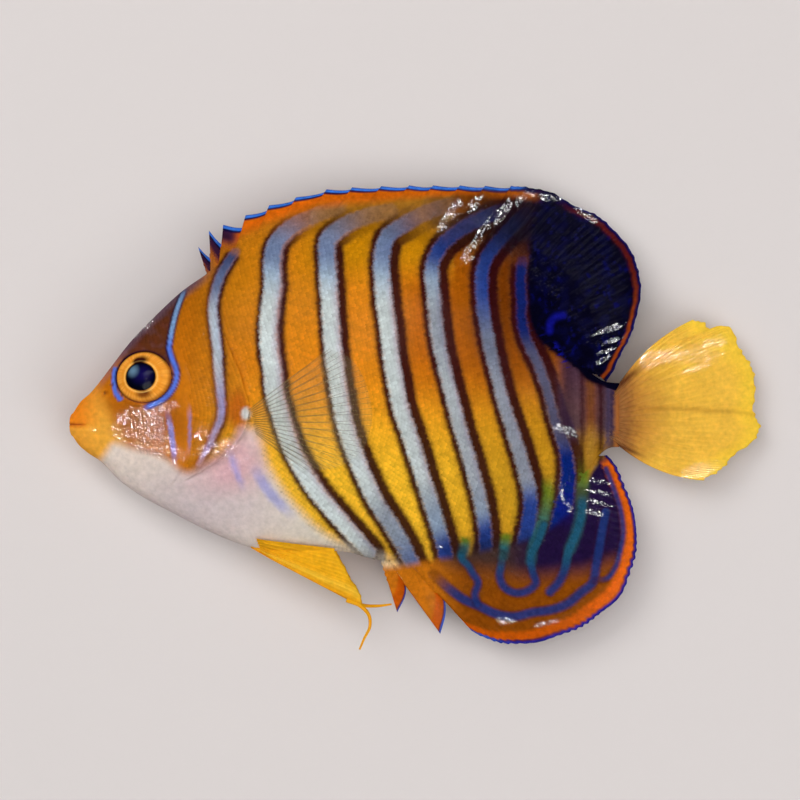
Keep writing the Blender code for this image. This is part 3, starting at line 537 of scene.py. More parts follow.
def lay_green(colour, x, y):
    """The ends of the orange bands, which turn green and then teal on their way into the fin below."""
    for measure, half in green_bands.values():
        away, share = measure(x, y)
        tint = lay(np.tile(TINTS["green"], (len(x), 1)), "teal", ramp(share, 0.2, 0.7))
        colour = lay(colour, tint, (1 - ramp(np.abs(away), half - 0.35, half + 0.4)) * ramp(share, 0, 0.2) * 0.85)
    return colour


# %% The flank
def paint_flank(x, y):
    """Orange that turns yellow towards the belly, with the pale stripes and their dark borders."""
    colour = np.tile(TINTS["orange"], (len(x), 1))
    colour = layers(
        colour,
        ("ochre", ramp(y, 4, 15) * (1 - ramp(x, 30, 37)) * 0.7),
        ("golden", ramp(y, 12.5, 18.5) * ramp(x, 27, 33) * (1 - ramp(x, 46, 51)) * 0.85),
        ("gold", ramp(-y, -5.0, 7.5) * (1 - 0.25 * ramp(x, 40, 56))),
        ("yellow", ramp(-y, 0, 11) * 0.9),
        ("deep orange", ramp(x, 38.5, 44) * ramp(y, -3, 6) * (1 - ramp(y, 13, 18) * (x < 48)) * 0.85),
        ("rear ochre", ramp(x, 40, 60) * ramp(-y, -3, 4) * 0.7),
        ("burnt", ramp(x, 44, 56) * ramp(y, -4, 12) * 0.95),
        ("green", ramp(-y, 8, 15) * ramp(x, 54.5, 58.5) * 0.75),
        (srgb(116, 52, 8), ramp(x, 46, 58) * ramp(y, -4, 14) * 0.5),
        (srgb(170, 102, 16), ramp(x, 8, 12) * (1 - ramp(x, 18, 25)) * 0.6),
    )
    for name, (measure, widths) in measured_stripes.items():
        away, share = measure(x, y)
        half = three(widths, share)
        rear = ramp(x, 22, 44)
        first, last = name == "first", name == "seventh"
        top = ramp(share, -0.01, 0.025)
        if not (first or last):
            top = np.maximum(ramp(share, 0.04, 0.19), ramp(x, 43, 48) * ramp(share, -0.02, 0.05))
        front_dark = 0.3 if first else 0.42 + 0.22 * rear
        mauve = 0.1 if first else 0.34 - 0.29 * rear
        rear_dark = 0.28 if first else 0.46 + 0.62 * rear
        # Dark line in front, mauve edge and dark line behind
        before = ramp(away, -half - front_dark - 0.3, -half - front_dark + 0.16)
        before = before * (1 - ramp(away, -half - 0.08, -half + 0.14))
        edge = ramp(away, half - 0.16, half + 0.1) * (1 - ramp(away, half + mauve, half + mauve + 0.25))
        after = ramp(away, half + mauve - 0.22, half + mauve + 0.06)
        after = after * (1 - ramp(away, half + mauve + rear_dark - 0.18, half + mauve + rear_dark + 0.34))
        halo = 1 - ramp(np.maximum(-away - front_dark, away - mauve - rear_dark) - half, -0.1, 0.7)
        strength = (0.06 + 0.94 * top) * 0.95
        colour = layers(
            colour,
            ("brown", halo * 0.35 * top),
            ("mauve", edge * strength * (0.9 - 0.7 * ramp(x, 36, 47))),
            ("maroon", np.maximum(before, after) * strength),
        )
        inside = 1 - ramp(np.abs(away), half - 0.22, half + 0.16)
        behind = ramp(x, 38, 47)
        cold = ramp(y, 14.5, 18.5) * (0.8 + 0.2 * behind)
        low_start = np.interp(x, (44, 52, 57), (16.0, 13.0, 9.5))
        cold = np.maximum(cold, ramp(-y, low_start, low_start + 3.8) * (0.25 + 0.75 * behind) * ramp(x, 34, 40))
        cold = np.maximum(cold, ramp(y, 7, 14) * ramp(x, 47, 52))
        tint = np.tile(TINTS["pale"], (len(x), 1))
        tint = layers(
            tint,
            ("lilac", 0.75 * ramp(away, 0.1, half) + 0.25 * ramp(x, 40, 56)),
            (srgb(112, 118, 138), 0.72 * ramp(x, 40, 56) + 0.55 * ramp(y, 0, 10) * ramp(x, 41, 47)),
            (srgb(118, 124, 142), ramp(-y, 9, 15.5) * ramp(x, 35, 39) * (1 - ramp(x, 50, 53)) * 0.8),
        )
        tint = tint * (1 - 0.09 * ramp(x, 34, 42))[:, None]
        tint = layers(
            tint,
            ("steel", ramp(y, 11, 17) * 0.8 + ramp(-y, 9, 16) * 0.55 * behind),
            ("slate", cold),
            ("blue", cold * behind * 0.9),
        )
        if first:
            tint = layers(
                tint,
                ("line blue", 0.35),
                (srgb(116, 132, 198), ramp(-y, -4.5, 0.5) * 0.8),
                ("slate", ramp(y, 10, 15)),
                (srgb(62, 70, 112), ramp(y, 14.5, 18) * 0.9),
            )
        if last:
            tint = layers(
                tint,
                (srgb(74, 72, 100), 0.85),
                (srgb(8, 28, 96), ramp(y, 5.0, 9) * 0.95),
                ("violet", ramp(-y, -3.5, 1) * (1 - ramp(-y, 3, 6)) * 0.35),
                (srgb(10, 34, 108), ramp(-y, 3.5, 7.5)),
            )
        if not (first or last):
            tint = lay(tint, "dusk", (1 - ramp(share, 0.0, 0.13)) * 0.75 * (1 - ramp(x, 48, 52)))
        colour = lay(colour, tint, inside * (0.42 + 0.58 * top))
    lower = x > 46
    colour[lower] = lay_green(colour[lower], x[lower], y[lower])
    low = ramp(-y, 15.8, 19.0) * ramp(x, 45, 51) * (1 - ramp(x, 62, 65))
    colour = lay(colour * (1 - 0.4 * low)[:, None], srgb(24, 22, 44), low * 0.35)
    # The root of the tail: a dark violet field, an ochre band and thin dark bands
    field = ramp(x, 60.2, 62.2) * ramp(y, -6, -3)
    colour = layers(
        colour,
        ("violet", field * 0.85),
        ("maroon", field * bump(x - 61.9, 1.2) * 0.55),
        ("rust", bump(x - 65.0, 0.8) * ramp(y, -7, -5)),
        (srgb(112, 64, 32), bump(x - 65.0, 0.6) * 0.85),
        (srgb(178, 128, 40), bump(x - 65.0, 0.9) * ramp(-y, 2.0, 5.5) * 0.85),
        ("maroon", bump(x - 66.3, 0.4) * 0.9 + bump(x - 63.9, 0.34) * 0.75),
        ("violet", bump(x - 67.2, 0.4) * 0.9),
        ("ink", bump(x - 67.75, 0.22) * 0.8),
        (srgb(158, 94, 46), ramp(x, 67.8, 68.2)),
    )
    return lay(colour, "navy", navy_share(x, y))


# %% The head and the belly
def paint_head(x, y, colour):
    """Orange face, brown forehead, cream belly and the blue lines round the eye and the gills."""
    before_gill = 1 - ramp(x - gill_x(angle_at(x, y)), -0.1, 0.1)
    face = 1 - ramp(x, 14.5, 19)
    colour = layers(
        colour,
        ("face", face * 0.85),
        ("orange", blot(x, y, 16.2, -1.5, 3.0, 6.5, 0.8) * 0.4),
        (srgb(140, 68, 24), blot(x, y, 9.6, -3.0, 5.0, 3.4, 0.8) * 0.6),
    )
    nape_away, _ = measured_lines["nape"][0](x, y)
    below_back = back(x) - y
    brow = ramp(x + 0.6 * y, 8.0, 11.5) * ramp(y, 3.4, 5.2) * ramp(-nape_away, -0.15, 0.35) * (nape_away > -FAR + 1)
    colour = layers(
        colour,
        ("forehead", brow * 0.93),
        ("forehead", (1 - ramp(below_back, 0.2, 1.7)) * ramp(x, 13, 15) * (1 - ramp(x, 15.5, 18)) * 0.8),
        ("brow", brow * ramp(wander(x, y, 0.9, 12.0), -0.1, 0.5) * 0.12),
        (srgb(104, 50, 30), brow * ramp(wander(x, y, 1.6, 15.0), 0, 0.4) * 0.5),
        ("brow", (1 - ramp(below_back, 0.1, 1.9)) * ramp(x, 2.0, 5.5) * (1 - ramp(x, 15, 19)) * 0.5),
        ("chin", (1 - ramp(x + 0.5 * (y + 4), 4.8, 7.6)) * 0.95),
        ("snout", (1 - ramp(x, 0.4, 5.4)) * (0.25 + 0.75 * ramp(y, -3.9, -2.4)) * 0.9),
        ("flap", blot(x, y, 21.4, -1.2, 1.3, 2.4, 0.6) * before_gill * 0.9),
        # Painted shade in the cleft of the mouth
        ("rust", bump(np.abs(y - MOUTH_Y), 0.15) * (1 - ramp(x, 1.2, 2.2)) * 0.45),
    )
    # The pale underside, sharp along the cheek and soft behind the side fin
    above, _ = belly_edge_line(x, y)
    soft = np.where(x < 21.5, 0.6, 0.75)
    pale_side = (1 - ramp(above, -soft - 0.35, soft)) * (1 - ramp(x, 31, 47) * 0.75)
    under = np.where(above > FAR - 1, (y < -8) & (x < 44), pale_side)
    tint = lay(np.tile(TINTS["cream"], (len(x), 1)), "belly", ramp(x, 18, 32))
    tint = layers(
        tint,
        ("lilac", blot(x, y, 17, -13, 9, 4.5, 0.9) * 0.5),
        ("rose", blot(x, y, 21.6, -7.2, 3.2, 3.4, 0.9) * 0.8 + blot(x, y, 17.6, -9.6, 3, 2, 0.9) * 0.4),
    )
    past_plate = bump(x - gill_x(angle_at(x, y)) + 0.5, 0.6) * (1 - ramp(y, -3, -1.5)) * ramp(y, -9.6, -7.6)
    tint = lay(tint, srgb(186, 138, 150), past_plate * before_gill * 0.8)
    keep = np.zeros(len(x))
    for name in ("first", "second", "third"):
        keep = np.maximum(keep, (1 - ramp(np.abs(measured_stripes[name][0](x, y)[0]), 0.8, 1.8)) * (x > 24))
    colour = lay(colour, tint, under * (1 - 0.55 * keep * ramp(x, 26, 34)))
    # Blue lines
    for name, (measure, half) in measured_lines.items():
        away, share = measure(x, y)
        ends = ramp(share, 0, 0.06) * (1 - ramp(share, 0.94, 1))
        tint = "wash" if name in FAINT_LINES else "eye blue"
        if name in FAINT_LINES:
            ends = ramp(share, 0, 0.35) * (1 - ramp(share, 0.6, 1)) * (0.8 if name == "cheek" else 0.62)
        if name == "nape":
            colour = lay(colour, "ink", (1 - ramp(np.abs(away), half + 0.08, half + 0.42)) * 0.85 * ends)
            tint = lay(np.tile(TINTS["eye blue"], (len(x), 1)), "line blue", 1 - ramp(share, 0.3, 0.45))
            tint = lay(tint, "slate", 1 - ramp(share, 0, 0.12))
        elif name == "before eye":
            colour = lay(colour, "ink", (1 - ramp(np.abs(away), half + 0.05, half + 0.25)) * 0.5 * ends)
        soft = 0.35 if name in ("root", "chest") else 0.12
        colour = lay(colour, tint, (1 - ramp(np.abs(away), half - soft, half + soft)) * ends)
    colour = lay(colour, "pale", blot(x, y, 22.25, -1.7, 0.55, 0.75, 0.5) * 0.85)
    from_eye = np.hypot((x - EYE_X) / EYE_LENGTH, (y - EYE_Y) / EYE_HEIGHT)
    # Painted shade in the gap between the eye and the rim of its socket
    colour = lay(colour, "ink", (1 - ramp(from_eye, 0.96, 1.03)) * 0.9)
    # Painted shade in the pits of the nostrils
    for place_x, place_y in NOSTRILS:
        colour = lay(colour, "forehead", (1 - ramp(np.hypot(x - place_x, y - place_y), 0.08, 0.3)) * 0.7)
    return colour


# %% The paint of the whole fish
def mottle(x, y, colour, seed=0.0):
    """Uneven pigment: slow patches and fine grain in the strength of every colour."""
    slow, fine = wander(x, y, 2.6, seed + 3.1), wander(x, y, 0.45, seed + 7.7)
    calm = 1 - 0.7 * ramp(-y, 7, 10) * (1 - ramp(x, 26, 34))
    return colour * (1 + (0.10 * slow + 0.09 * fine) * calm)[:, None]


RAGGED = 0.15


def paint_body(x, y):
    """The colour of the skin at places seen from the side, the edges of the markings a little ragged."""
    shift_x = RAGGED * (wander(x, y, 0.42, 1.3) + 0.6 * wander(x, y, 0.2, 5.3))
    shift_y = RAGGED * wander(x, y, 0.42, 9.9)
    at_x, at_y = x + shift_x * ramp(x, 14, 22), y + shift_y * ramp(x, 14, 22)
    colour = paint_flank(at_x, at_y)
    front = x < 50
    colour[front] = paint_head(at_x[front], at_y[front], colour[front])
    return mottle(x, y, colour)


# %% [markdown]
# ## One skin
# The real skin has no seams, so head, gill covers, trunk and tail root are one mesh here: a loft of rings, from
# a small ring in the mouth to the last one inside the tail fin. Rings before the gills follow the edge of the
# gill cover, so its step stays sharp. The colour goes on the points, close enough together for the stripes.

# %% Rings of the skin
EYE_BAND = math.radians(40), math.radians(90)
MUZZLE_RINGS = (
    (0.9, 0.03, 0.04), (0.35, 0.1, 0.2), (0.08, 0.24, 0.42), (0.0, 0.42, 0.58), (0.04, 0.64, 0.74), (0.14, 0.83, 0.87),
    (0.26, 0.94, 0.95),
)
skin_angles = np.concatenate([
    np.linspace(0, EYE_BAND[0], 32)[:-1], np.linspace(*EYE_BAND, 58)[:-1], np.linspace(EYE_BAND[1], math.pi, 80),
])
gill_distance = gill_x(skin_angles)
tight = np.linspace(0, 1, 84)[:-1] ** 1.15
head_shares = np.concatenate([tight * 0.985, [0.992, 1.0]])


def skin_ring(distance, side, height_share=1.0, width_share=1.0):
    """One side of a ring of the skin; a share under 1 draws it in towards the middle of the mouth."""
    ring = flesh(distance, skin_angles, side, raised=-SKIN_SUNK)
    ring[:, 1] = MOUTH_Y + (ring[:, 1] - MOUTH_Y) * height_share
    ring[:, 2] *= width_share
    return ring


def skin_rings(side):
    """All rings of one side, as an array of ring, angle and coordinate."""
    start = np.full_like(skin_angles, FLESH_START)
    rings = []
    for ahead, height_share, width_share in MUZZLE_RINGS:
        ring = skin_ring(start, side, height_share, width_share)
        ring[:, 0] = ahead
        rings.append(ring)
    rings += [skin_ring(start + (gill_distance - start) * share, side) for share in head_shares]
    rings.append(skin_ring(gill_distance + 0.06, side))
    for share in np.linspace(0, 1, 136)[1:]:
        rings.append(skin_ring(gill_distance + 0.06 + (FLESH_END - gill_distance - 0.06) * share, side))
    return np.array(rings)


left_rings, right_rings = skin_rings(1), skin_rings(-1)
ring_count, angle_count = left_rings.shape[:2]
print("skin:", ring_count, "rings of", 2 * angle_count, "points")

# %% The skin as one closed mesh


def new_piece(name, points, faces, material):
    """A mesh object with its place in its mesh, its faces turned outwards and one material."""
    mesh = bpy.data.meshes.new(name)
    mesh.from_pydata(to_frame(points).tolist(), [], faces)
    bm = bmesh.new()
    bm.from_mesh(mesh)
    bmesh.ops.recalc_face_normals(bm, faces=bm.faces)
    if bm.calc_volume(signed=True) < 0:
        bmesh.ops.reverse_faces(bm, faces=bm.faces)
    bm.to_mesh(mesh)
    bm.free()
    mesh.shade_smooth()
    mesh.materials.append(material)
    piece = bpy.data.objects.new(name, mesh)
    bpy.context.scene.collection.objects.link(piece)
    return piece


def dress(piece, slot, *nodes):
    """Says what a finished piece rides on and which solids it stands for; the slot is not used."""
    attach(piece, "root")
    if nodes:
        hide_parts(*nodes)
    print(piece.name, len(piece.data.polygons), "faces")


def places_of(piece):
    """Where the points of a piece are, in the fish's own frame."""
    place = np.empty(3 * len(piece.data.vertices), np.float32)
    piece.data.vertices.foreach_get("co", place)
    return place.reshape(-1, 3) / MM - SNOUT


def set_colours(piece, colours):
    """Stores one colour for each point of a piece, and how far it is beaded with water."""
    place = places_of(piece)
    layer = piece.data.attributes.new("Beads", "FLOAT", "POINT")
    layer.data.foreach_set("value", beads(place[:, 0], place[:, 1]).astype(np.float32))
    layer = piece.data.color_attributes.new("Paint", "FLOAT_COLOR", "POINT")
    layer.data.foreach_set("color", np.column_stack([colours, np.ones(len(colours))]).astype(np.float32).ravel())


def loop_faces(rings, around, start=0):
    """Quads between closed rings of points, and a cap over the first and the last."""
    faces = []
    for ring in range(rings - 1):
        low, high = start + ring * around, start + (ring + 1) * around
        for j in range(around):
            k = (j + 1) % around
            faces.append((low + j, low + k, high + k, high + j))
    faces.append(tuple(range(start, start + around)))
    faces.append(tuple(range(start + (rings - 1) * around, start + rings * around)))
    return faces


skin_points = np.concatenate([left_rings, right_rings[:, ::-1]], axis=1)
around = 2 * angle_count
skin_flat = skin_points.reshape(-1, 3)

paint_skin = paint_body(skin_flat[:, 0], skin_flat[:, 1])

# %% [markdown]
# ## A wet skin
# The finish is read from the colour on the points and broken up by noise, so that no patch is one flat tint.
# Fine ripples in the bump stand for the small scales and pores. A clear coat on top is the film of water: it
# is smoother than what lies under it, which is what makes a thing look wet and not just shiny.

# %% The finish of skin and scales
GRAIN_SIZE, CELL_SIZE, BUMP_HEIGHT, WATER_IOR = 0.35 * MM, 0.42 * MM, 0.05 * MM, 1.33
BEAD_SIZE, BEAD_HEIGHT, BEAD_SHARE, CLUSTER_SIZE = 0.3 * MM, 0.42 * MM, 0.9, 0.75 * MM
# The strength of attribute and noise together from which there are beads, and at which they are full
BEADS_FROM, BEADS_FULL = 0.36, 0.41
# Where water stands in beads, seen from the side, in millimetres and degrees: the middle's x and y, half the
# length, half the height, and the turn
BEADS = (
    # Cheek and gill cover, brow, lips, tail root
    (9.4, -3.4, 5.4, 3.4, -8), (12.4, -6.0, 3.4, 2.4, -25), (19.0, -6.0, 4.2, 1.7, 15), (11.8, -0.9, 3.2, 1.1, 10),
    (16.8, -4.2, 1.4, 1.0, 20), (9.3, 9.0, 2.8, 0.8, 45),
    (3.2, -3.7, 0.9, 0.45, -15), (61.8, -3.8, 2.6, 1.0, -15), (8.0, -9.8, 1.6, 0.3, -40),
    # Upper edge of the back
    (47.5, 23.1, 3.6, 1.1, 57), (50.6, 24.6, 2.3, 0.9, 57), (50.8, 20.0, 6.2, 0.85, 54), (54.2, 23.6, 3.2, 0.85, 55),
    (49.8, 17.5, 1.3, 0.9, 0), (56.8, 25.4, 1.9, 0.8, 40), (59.5, 25.4, 3.0, 0.7, -8), (64.2, 23.6, 3.0, 0.8, -38),
    # Rear corner of the back fin
    (67.6, 8.9, 3.2, 0.6, 20), (67.9, 7.5, 2.8, 0.5, 22), (67.2, 6.2, 2.5, 0.48, 24), (66.6, 5.0, 2.0, 0.46, 27),
    # Tail
    (72.9, 5.2, 2.6, 1.7, 40), (75.2, 5.7, 2.2, 1.2, 30), (77.0, 5.4, 1.9, 1.4, 30), (79.4, 4.7, 3.6, 1.2, 25),
    (79.8, 6.6, 4.0, 1.25, 25), (78.9, -8.9, 4.2, 1.5, 20),
    # Anal fin and belly fins
    (66.2, -10.2, 2.2, 0.5, -12), (66.0, -11.5, 2.6, 0.5, -13), (66.0, -12.8, 2.8, 0.52, -14),
    (65.6, -14.1, 2.6, 0.48, -15), (61.4, -11.6, 0.5, 2.0, 8), (62.3, -13.4, 0.9, 0.9, 0), (54.2, -27.6, 2.6, 0.6, -5),
    (59.5, -28.0, 2.4, 0.5, 12), (46.3, -18.2, 0.7, 0.5, 20), (34.5, -26.0, 0.8, 0.3, 0),
)


def beads(x, y):
    """How much the water stands in beads at each place, from 0 to 1."""
    found = np.zeros(len(x))
    for at_x, at_y, half_x, half_y, turn in BEADS:
        cos, sin = math.cos(math.radians(turn)), math.sin(math.radians(turn))
        along, across = (x - at_x) * cos + (y - at_y) * sin, (y - at_y) * cos - (x - at_x) * sin
        found = np.maximum(found, 1 - ramp(np.hypot(along / half_x, across / half_y), 0.4, 1.35))
    return found


def wet_finish(name, roughness=0.42, coat_roughness=0.05, bumps=0.25, grain=0.35, soft=0.1, shade=None, coat=0.002):
    """Colour from the points' paint with grain, fine bumps, and a clear wet coat."""
    material, shader, add = new_material(name)
    place = add("ShaderNodeTexCoord").outputs["Object"]

    def noise_at(size, **settings):
        return add("ShaderNodeTexNoise", Vector=place, Scale=1 / size, **settings).outputs["Fac"]

    def level(value, **settings):
        return add("ShaderNodeMapRange", Value=value, **settings).outputs["Result"]

    def maths(operation, *values):
        numbered = {f"_{k}": value for k, value in enumerate(values)}
        return add("ShaderNodeMath", operation=operation, **numbered).outputs["Value"]

    paint = add("ShaderNodeAttribute", attribute_name="Paint").outputs["Color"]
    speckle = noise_at(GRAIN_SIZE * 2, Detail=4.0, Roughness=0.6)
    speckle = level(speckle, From_Min=0.3, From_Max=0.7, To_Min=1 - grain, To_Max=1 + grain)
    colour = add("ShaderNodeVectorMath", operation="SCALE", Vector=paint, Scale=speckle).outputs["Vector"]
    if shade:
        colour = shade(add, colour)
    ripples = noise_at(GRAIN_SIZE * 1.1, Detail=3.0)
    cells = add("ShaderNodeTexVoronoi", Vector=place, Scale=1 / CELL_SIZE).outputs["Distance"]
    relief = add("ShaderNodeBump", Strength=bumps, Distance=BUMP_HEIGHT, Height=maths("ADD", ripples, cells))
    # Beads of water: where the point attribute says so, the film is broken up and throws sparks
    wet = add("ShaderNodeAttribute", attribute_name="Beads").outputs["Fac"]
    near = maths("MULTIPLY", wet, noise_at(CLUSTER_SIZE, Detail=2.0))
    beaded = level(near, From_Min=BEADS_FROM, From_Max=BEADS_FULL)
    height = maths("MULTIPLY", noise_at(BEAD_SIZE, Detail=0.0), maths("MULTIPLY_ADD", beaded, 1.0, bumps * 0.1))
    film = add("ShaderNodeBump", Strength=1.0, Distance=BEAD_HEIGHT, Height=height)
    plug(
        shader, Base_Color=colour, Normal=relief.outputs["Normal"], Coat_Normal=film.outputs["Normal"],
        Roughness=level(ripples, To_Min=roughness - 0.08, To_Max=roughness + 0.1), Specular_IOR_Level=0.0,
        Coat_Weight=maths("MULTIPLY_ADD", beaded, BEAD_SHARE, coat), Coat_Roughness=coat_roughness,
        Coat_IOR=WATER_IOR, Subsurface_Weight=soft, Subsurface_Radius=(1.0, 0.45, 0.2), Subsurface_Scale=0.8 * MM,
    )
    return material


skin_finish = wet_finish("wet_skin", grain=0.1)
skin = new_piece("skin", skin_flat, loop_faces(ring_count, around), skin_finish)
set_colours(skin, paint_skin)
dress(skin, "skin_banded", "head", "torso", "tail_root", "gill_cover_left", "gill_cover_right")

# %% [markdown]
# ## Fins
# A fin is skin stretched over bony rays. Hard spines stand at the front, each with a tip that passes the skin
# behind it, and soft rays follow, jointed and branching like twigs. A fin could be a flat card with a picture
# of rays. Here it is a thin closed sheet instead, and its thickness is drawn: thick at the scaly root, thin in
# the skin, with a ridge along every ray that forks on its way out.

# %% The sheet of a fin
FIN_DROOP = 1.0
FIN_GAP = 0.3
SKIN_THICKNESS, RAY_THICKNESS, JOINT_LENGTH = 0.12, 0.24, 0.4
ROOT_SUNK = 1.0
# Fins of the midline grow out of the flesh: they start this deep in it and swell this far out
FILLET_SUNK, FILLET_REACH, FILLET_START = 2.4, 3.6, 0.3


def edge_points(edge, x, sign):
    """Points just outside an edge of the body, at distances from the snout."""
    x = np.atleast_1d(np.asarray(x, float))
    slope = (edge(x + 0.05) - edge(x - 0.05)) / 0.1
    length = np.sqrt(1 + slope**2)
    return np.column_stack([x - sign * slope * FIN_GAP / length, edge(x) + sign * FIN_GAP / length])


def forked_ridge(phase, out, forks):
    """How high the ridge of a ray stands: phase is 0 on a ray and 0.5 between two; it forks on its way out."""
    away = np.abs((phase + 0.5) % 1.0 - 0.5)
    width, spread = 0.15, 0.25
    for fork_at in forks:
        away = np.abs(away - spread * ramp(out, fork_at, fork_at + 0.3))
        width = width * (1 - 0.38 * ramp(out, fork_at, fork_at + 0.3))
        spread = spread / 2
    return bump(away, width)


def droop(x, y, out):
    """The fins of the midline sag a little towards the floor."""
    return -FIN_DROOP * out**2


class Fin:
    """A sheet between a root line and a margin, with its place, its outward share and its distance from the rim."""

    def __init__(self, roots, tips, rows, height, sunk=ROOT_SUNK, bow=None):
        run = tips - roots
        length = np.linalg.norm(run, axis=1)
        start = -sunk / length
        out = start[:, None] + (1 - start[:, None]) * np.linspace(0, 1, rows)[None, :] ** 0.92
        place = roots[:, None, :] + run[:, None, :] * out[..., None]
        if bow:
            side_step = np.stack([-run[:, 1], run[:, 0]], axis=1) / length[:, None]
            amount = bow(np.linspace(0, 1, len(roots)))
            place = place + side_step[:, None, :] * (amount[:, None] * 4 * out * (1 - out))[..., None]
        self.out, self.length = np.clip(out, 0, 1), length[:, None]
        self.from_root = out * length[:, None]
        self.rim = (1 - out) * length[:, None]
        self.x, self.y = place[..., 0], place[..., 1]
        self.z = height(self.x, self.y, self.out)
        self.columns, self.rows = self.x.shape

    def mesh(self, name, thickness, material):
        """The closed sheet with this thickness, as a piece."""
        self.thickness = thickness
        left = np.stack([self.x, self.y, self.z + thickness / 2], axis=-1).reshape(-1, 3)
        right = np.stack([self.x, self.y, self.z - thickness / 2], axis=-1).reshape(-1, 3)
        count, rows = len(left), self.rows
        faces = []
        for i in range(self.columns - 1):
            for j in range(rows - 1):
                a, b = i * rows + j, (i + 1) * rows + j
                faces.append((a, b, b + 1, a + 1))
                faces.append((count + a, count + a + 1, count + b + 1, count + b))
        border = [i * rows for i in range(self.columns)]
        border += [(self.columns - 1) * rows + j for j in range(1, rows)]
        border += [i * rows + rows - 1 for i in range(self.columns - 2, -1, -1)]
        border += list(range(rows - 2, 0, -1))
        for a, b in zip(border, border[1:] + border[:1]):
            faces.append((a, count + a, count + b, b))
        return new_piece(name, np.vstack([left, right]), faces, material)


def ray_thickness(fin, phase, forks, root_thickness, ray=RAY_THICKNESS, root_length=4.0, spine=0.0):
    """Thin skin, a ridge along each ray, and a thick scaly root."""
    ridge = np.maximum(forked_ridge(phase, fin.out, forks), spine)
    taper = 1 - 0.6 * fin.out
    sheath = (root_thickness - SKIN_THICKNESS) * (1 - ramp(fin.from_root, -0.4, root_length))
    edge = ramp(fin.rim, -0.02, 0.35)
    return (SKIN_THICKNESS + ray * ridge * taper + sheath) * (0.35 + 0.65 * edge)


def fillet(fin, front=0.0, rear=0.0):
    """Thickness to add at the root, so that the flank runs into the fin with no crease; it tapers at its ends."""
    deep = np.array([-FILLET_SUNK - 0.2, -FILLET_SUNK, -FILLET_SUNK + 0.2])
    step = np.stack([np.gradient(fin.x, axis=1)[:, 0], np.gradient(fin.y, axis=1)[:, 0]], axis=1)
    step = step / np.linalg.norm(step, axis=1)[:, None]
    at = np.stack([fin.x[:, 0], fin.y[:, 0]], axis=1)[:, None, :] + step[:, None, :] * (deep - deep[1])[None, :, None]
    half = flank(at[..., 0], at[..., 1], 1)
    start, slope = half[:, 1:2] - FILLET_START, (half[:, 2:] - half[:, :1]) / 0.4
    reach = FILLET_SUNK + np.minimum(FILLET_REACH, 0.6 * fin.length)
    w = np.clip((fin.from_root + FILLET_SUNK) / reach, 0, 1)
    swell = start * (1 + 2 * w) * (1 - w) ** 2 + slope * reach * w * (1 - w) ** 2
    along = np.concatenate([[0], np.cumsum(np.hypot(np.diff(fin.x[:, 0]), np.diff(fin.y[:, 0])))])[:, None]
    ends = ramp(along, -0.01, front) if front else 1.0
    ends = ends * (ramp(along[-1] - along, -0.01, rear) if rear else 1.0)
    return 2 * np.maximum(swell, 0) * ends


def rows_on_sheet(fin, depths, spacing, side, cover):
    """Staggered places on one face of a fin, up to a share of its length: place, normal, run and rim."""
    grid = np.stack([fin.x, fin.y, fin.z + side * fin.thickness / 2], axis=-1)
    normals = np.cross(np.gradient(grid, axis=0), np.gradient(grid, axis=1))
    normals *= np.sign(normals[..., 2:]) * side
    runs = np.gradient(grid, axis=1)
    runs /= np.linalg.norm(runs, axis=2)[..., None]
    table = np.concatenate([grid, normals, runs, fin.rim[..., None]], axis=-1)
    found, column = [], np.arange(fin.columns)
    for index, depth in enumerate(depths):
        row = np.array([np.interp(depth, line, np.arange(fin.rows)) for line in fin.from_root])
        low = np.minimum(row.astype(int), fin.rows - 2)
        part = (row - low)[:, None]
        line = table[column, low] * (1 - part) + table[column, low + 1] * part
        run = np.concatenate([[0], np.cumsum(np.linalg.norm(np.diff(line[:, :3], axis=0), axis=1))])
        at = np.interp(np.arange(0.1 + 0.5 * spacing * (index % 2), run[-1] - 0.1, spacing), run, column)
        allowed = np.interp(at, column, fin.length[:, 0] * cover) > depth
        at = at[allowed]
        found.append(np.column_stack([np.interp(at, column, line[:, k]) for k in range(table.shape[2])]))
    return np.concatenate(found)


# %% [markdown]
# ## The colours of the fins
# The stripes run on into the back fin and fade. Its rim is bright blue over a black line, then orange. The rear
# lobe is nearly black, with blue specks and a red-brown band inside its rim. The fin under the tail is orange
# with wandering blue bands. The bands are drawn lines again, painted one over the other.

# %% The colours of the back fin
BLUE_HOOK = drawn_line(((59.9, 8.6), (60.0, 9.6), (60.6, 10.3), (61.6, 10.6)))
LOWER_HOOK = drawn_line(((60.6, 6.9), (61.3, 5.6), (62.0, 4.2), (62.4, 3.2)))


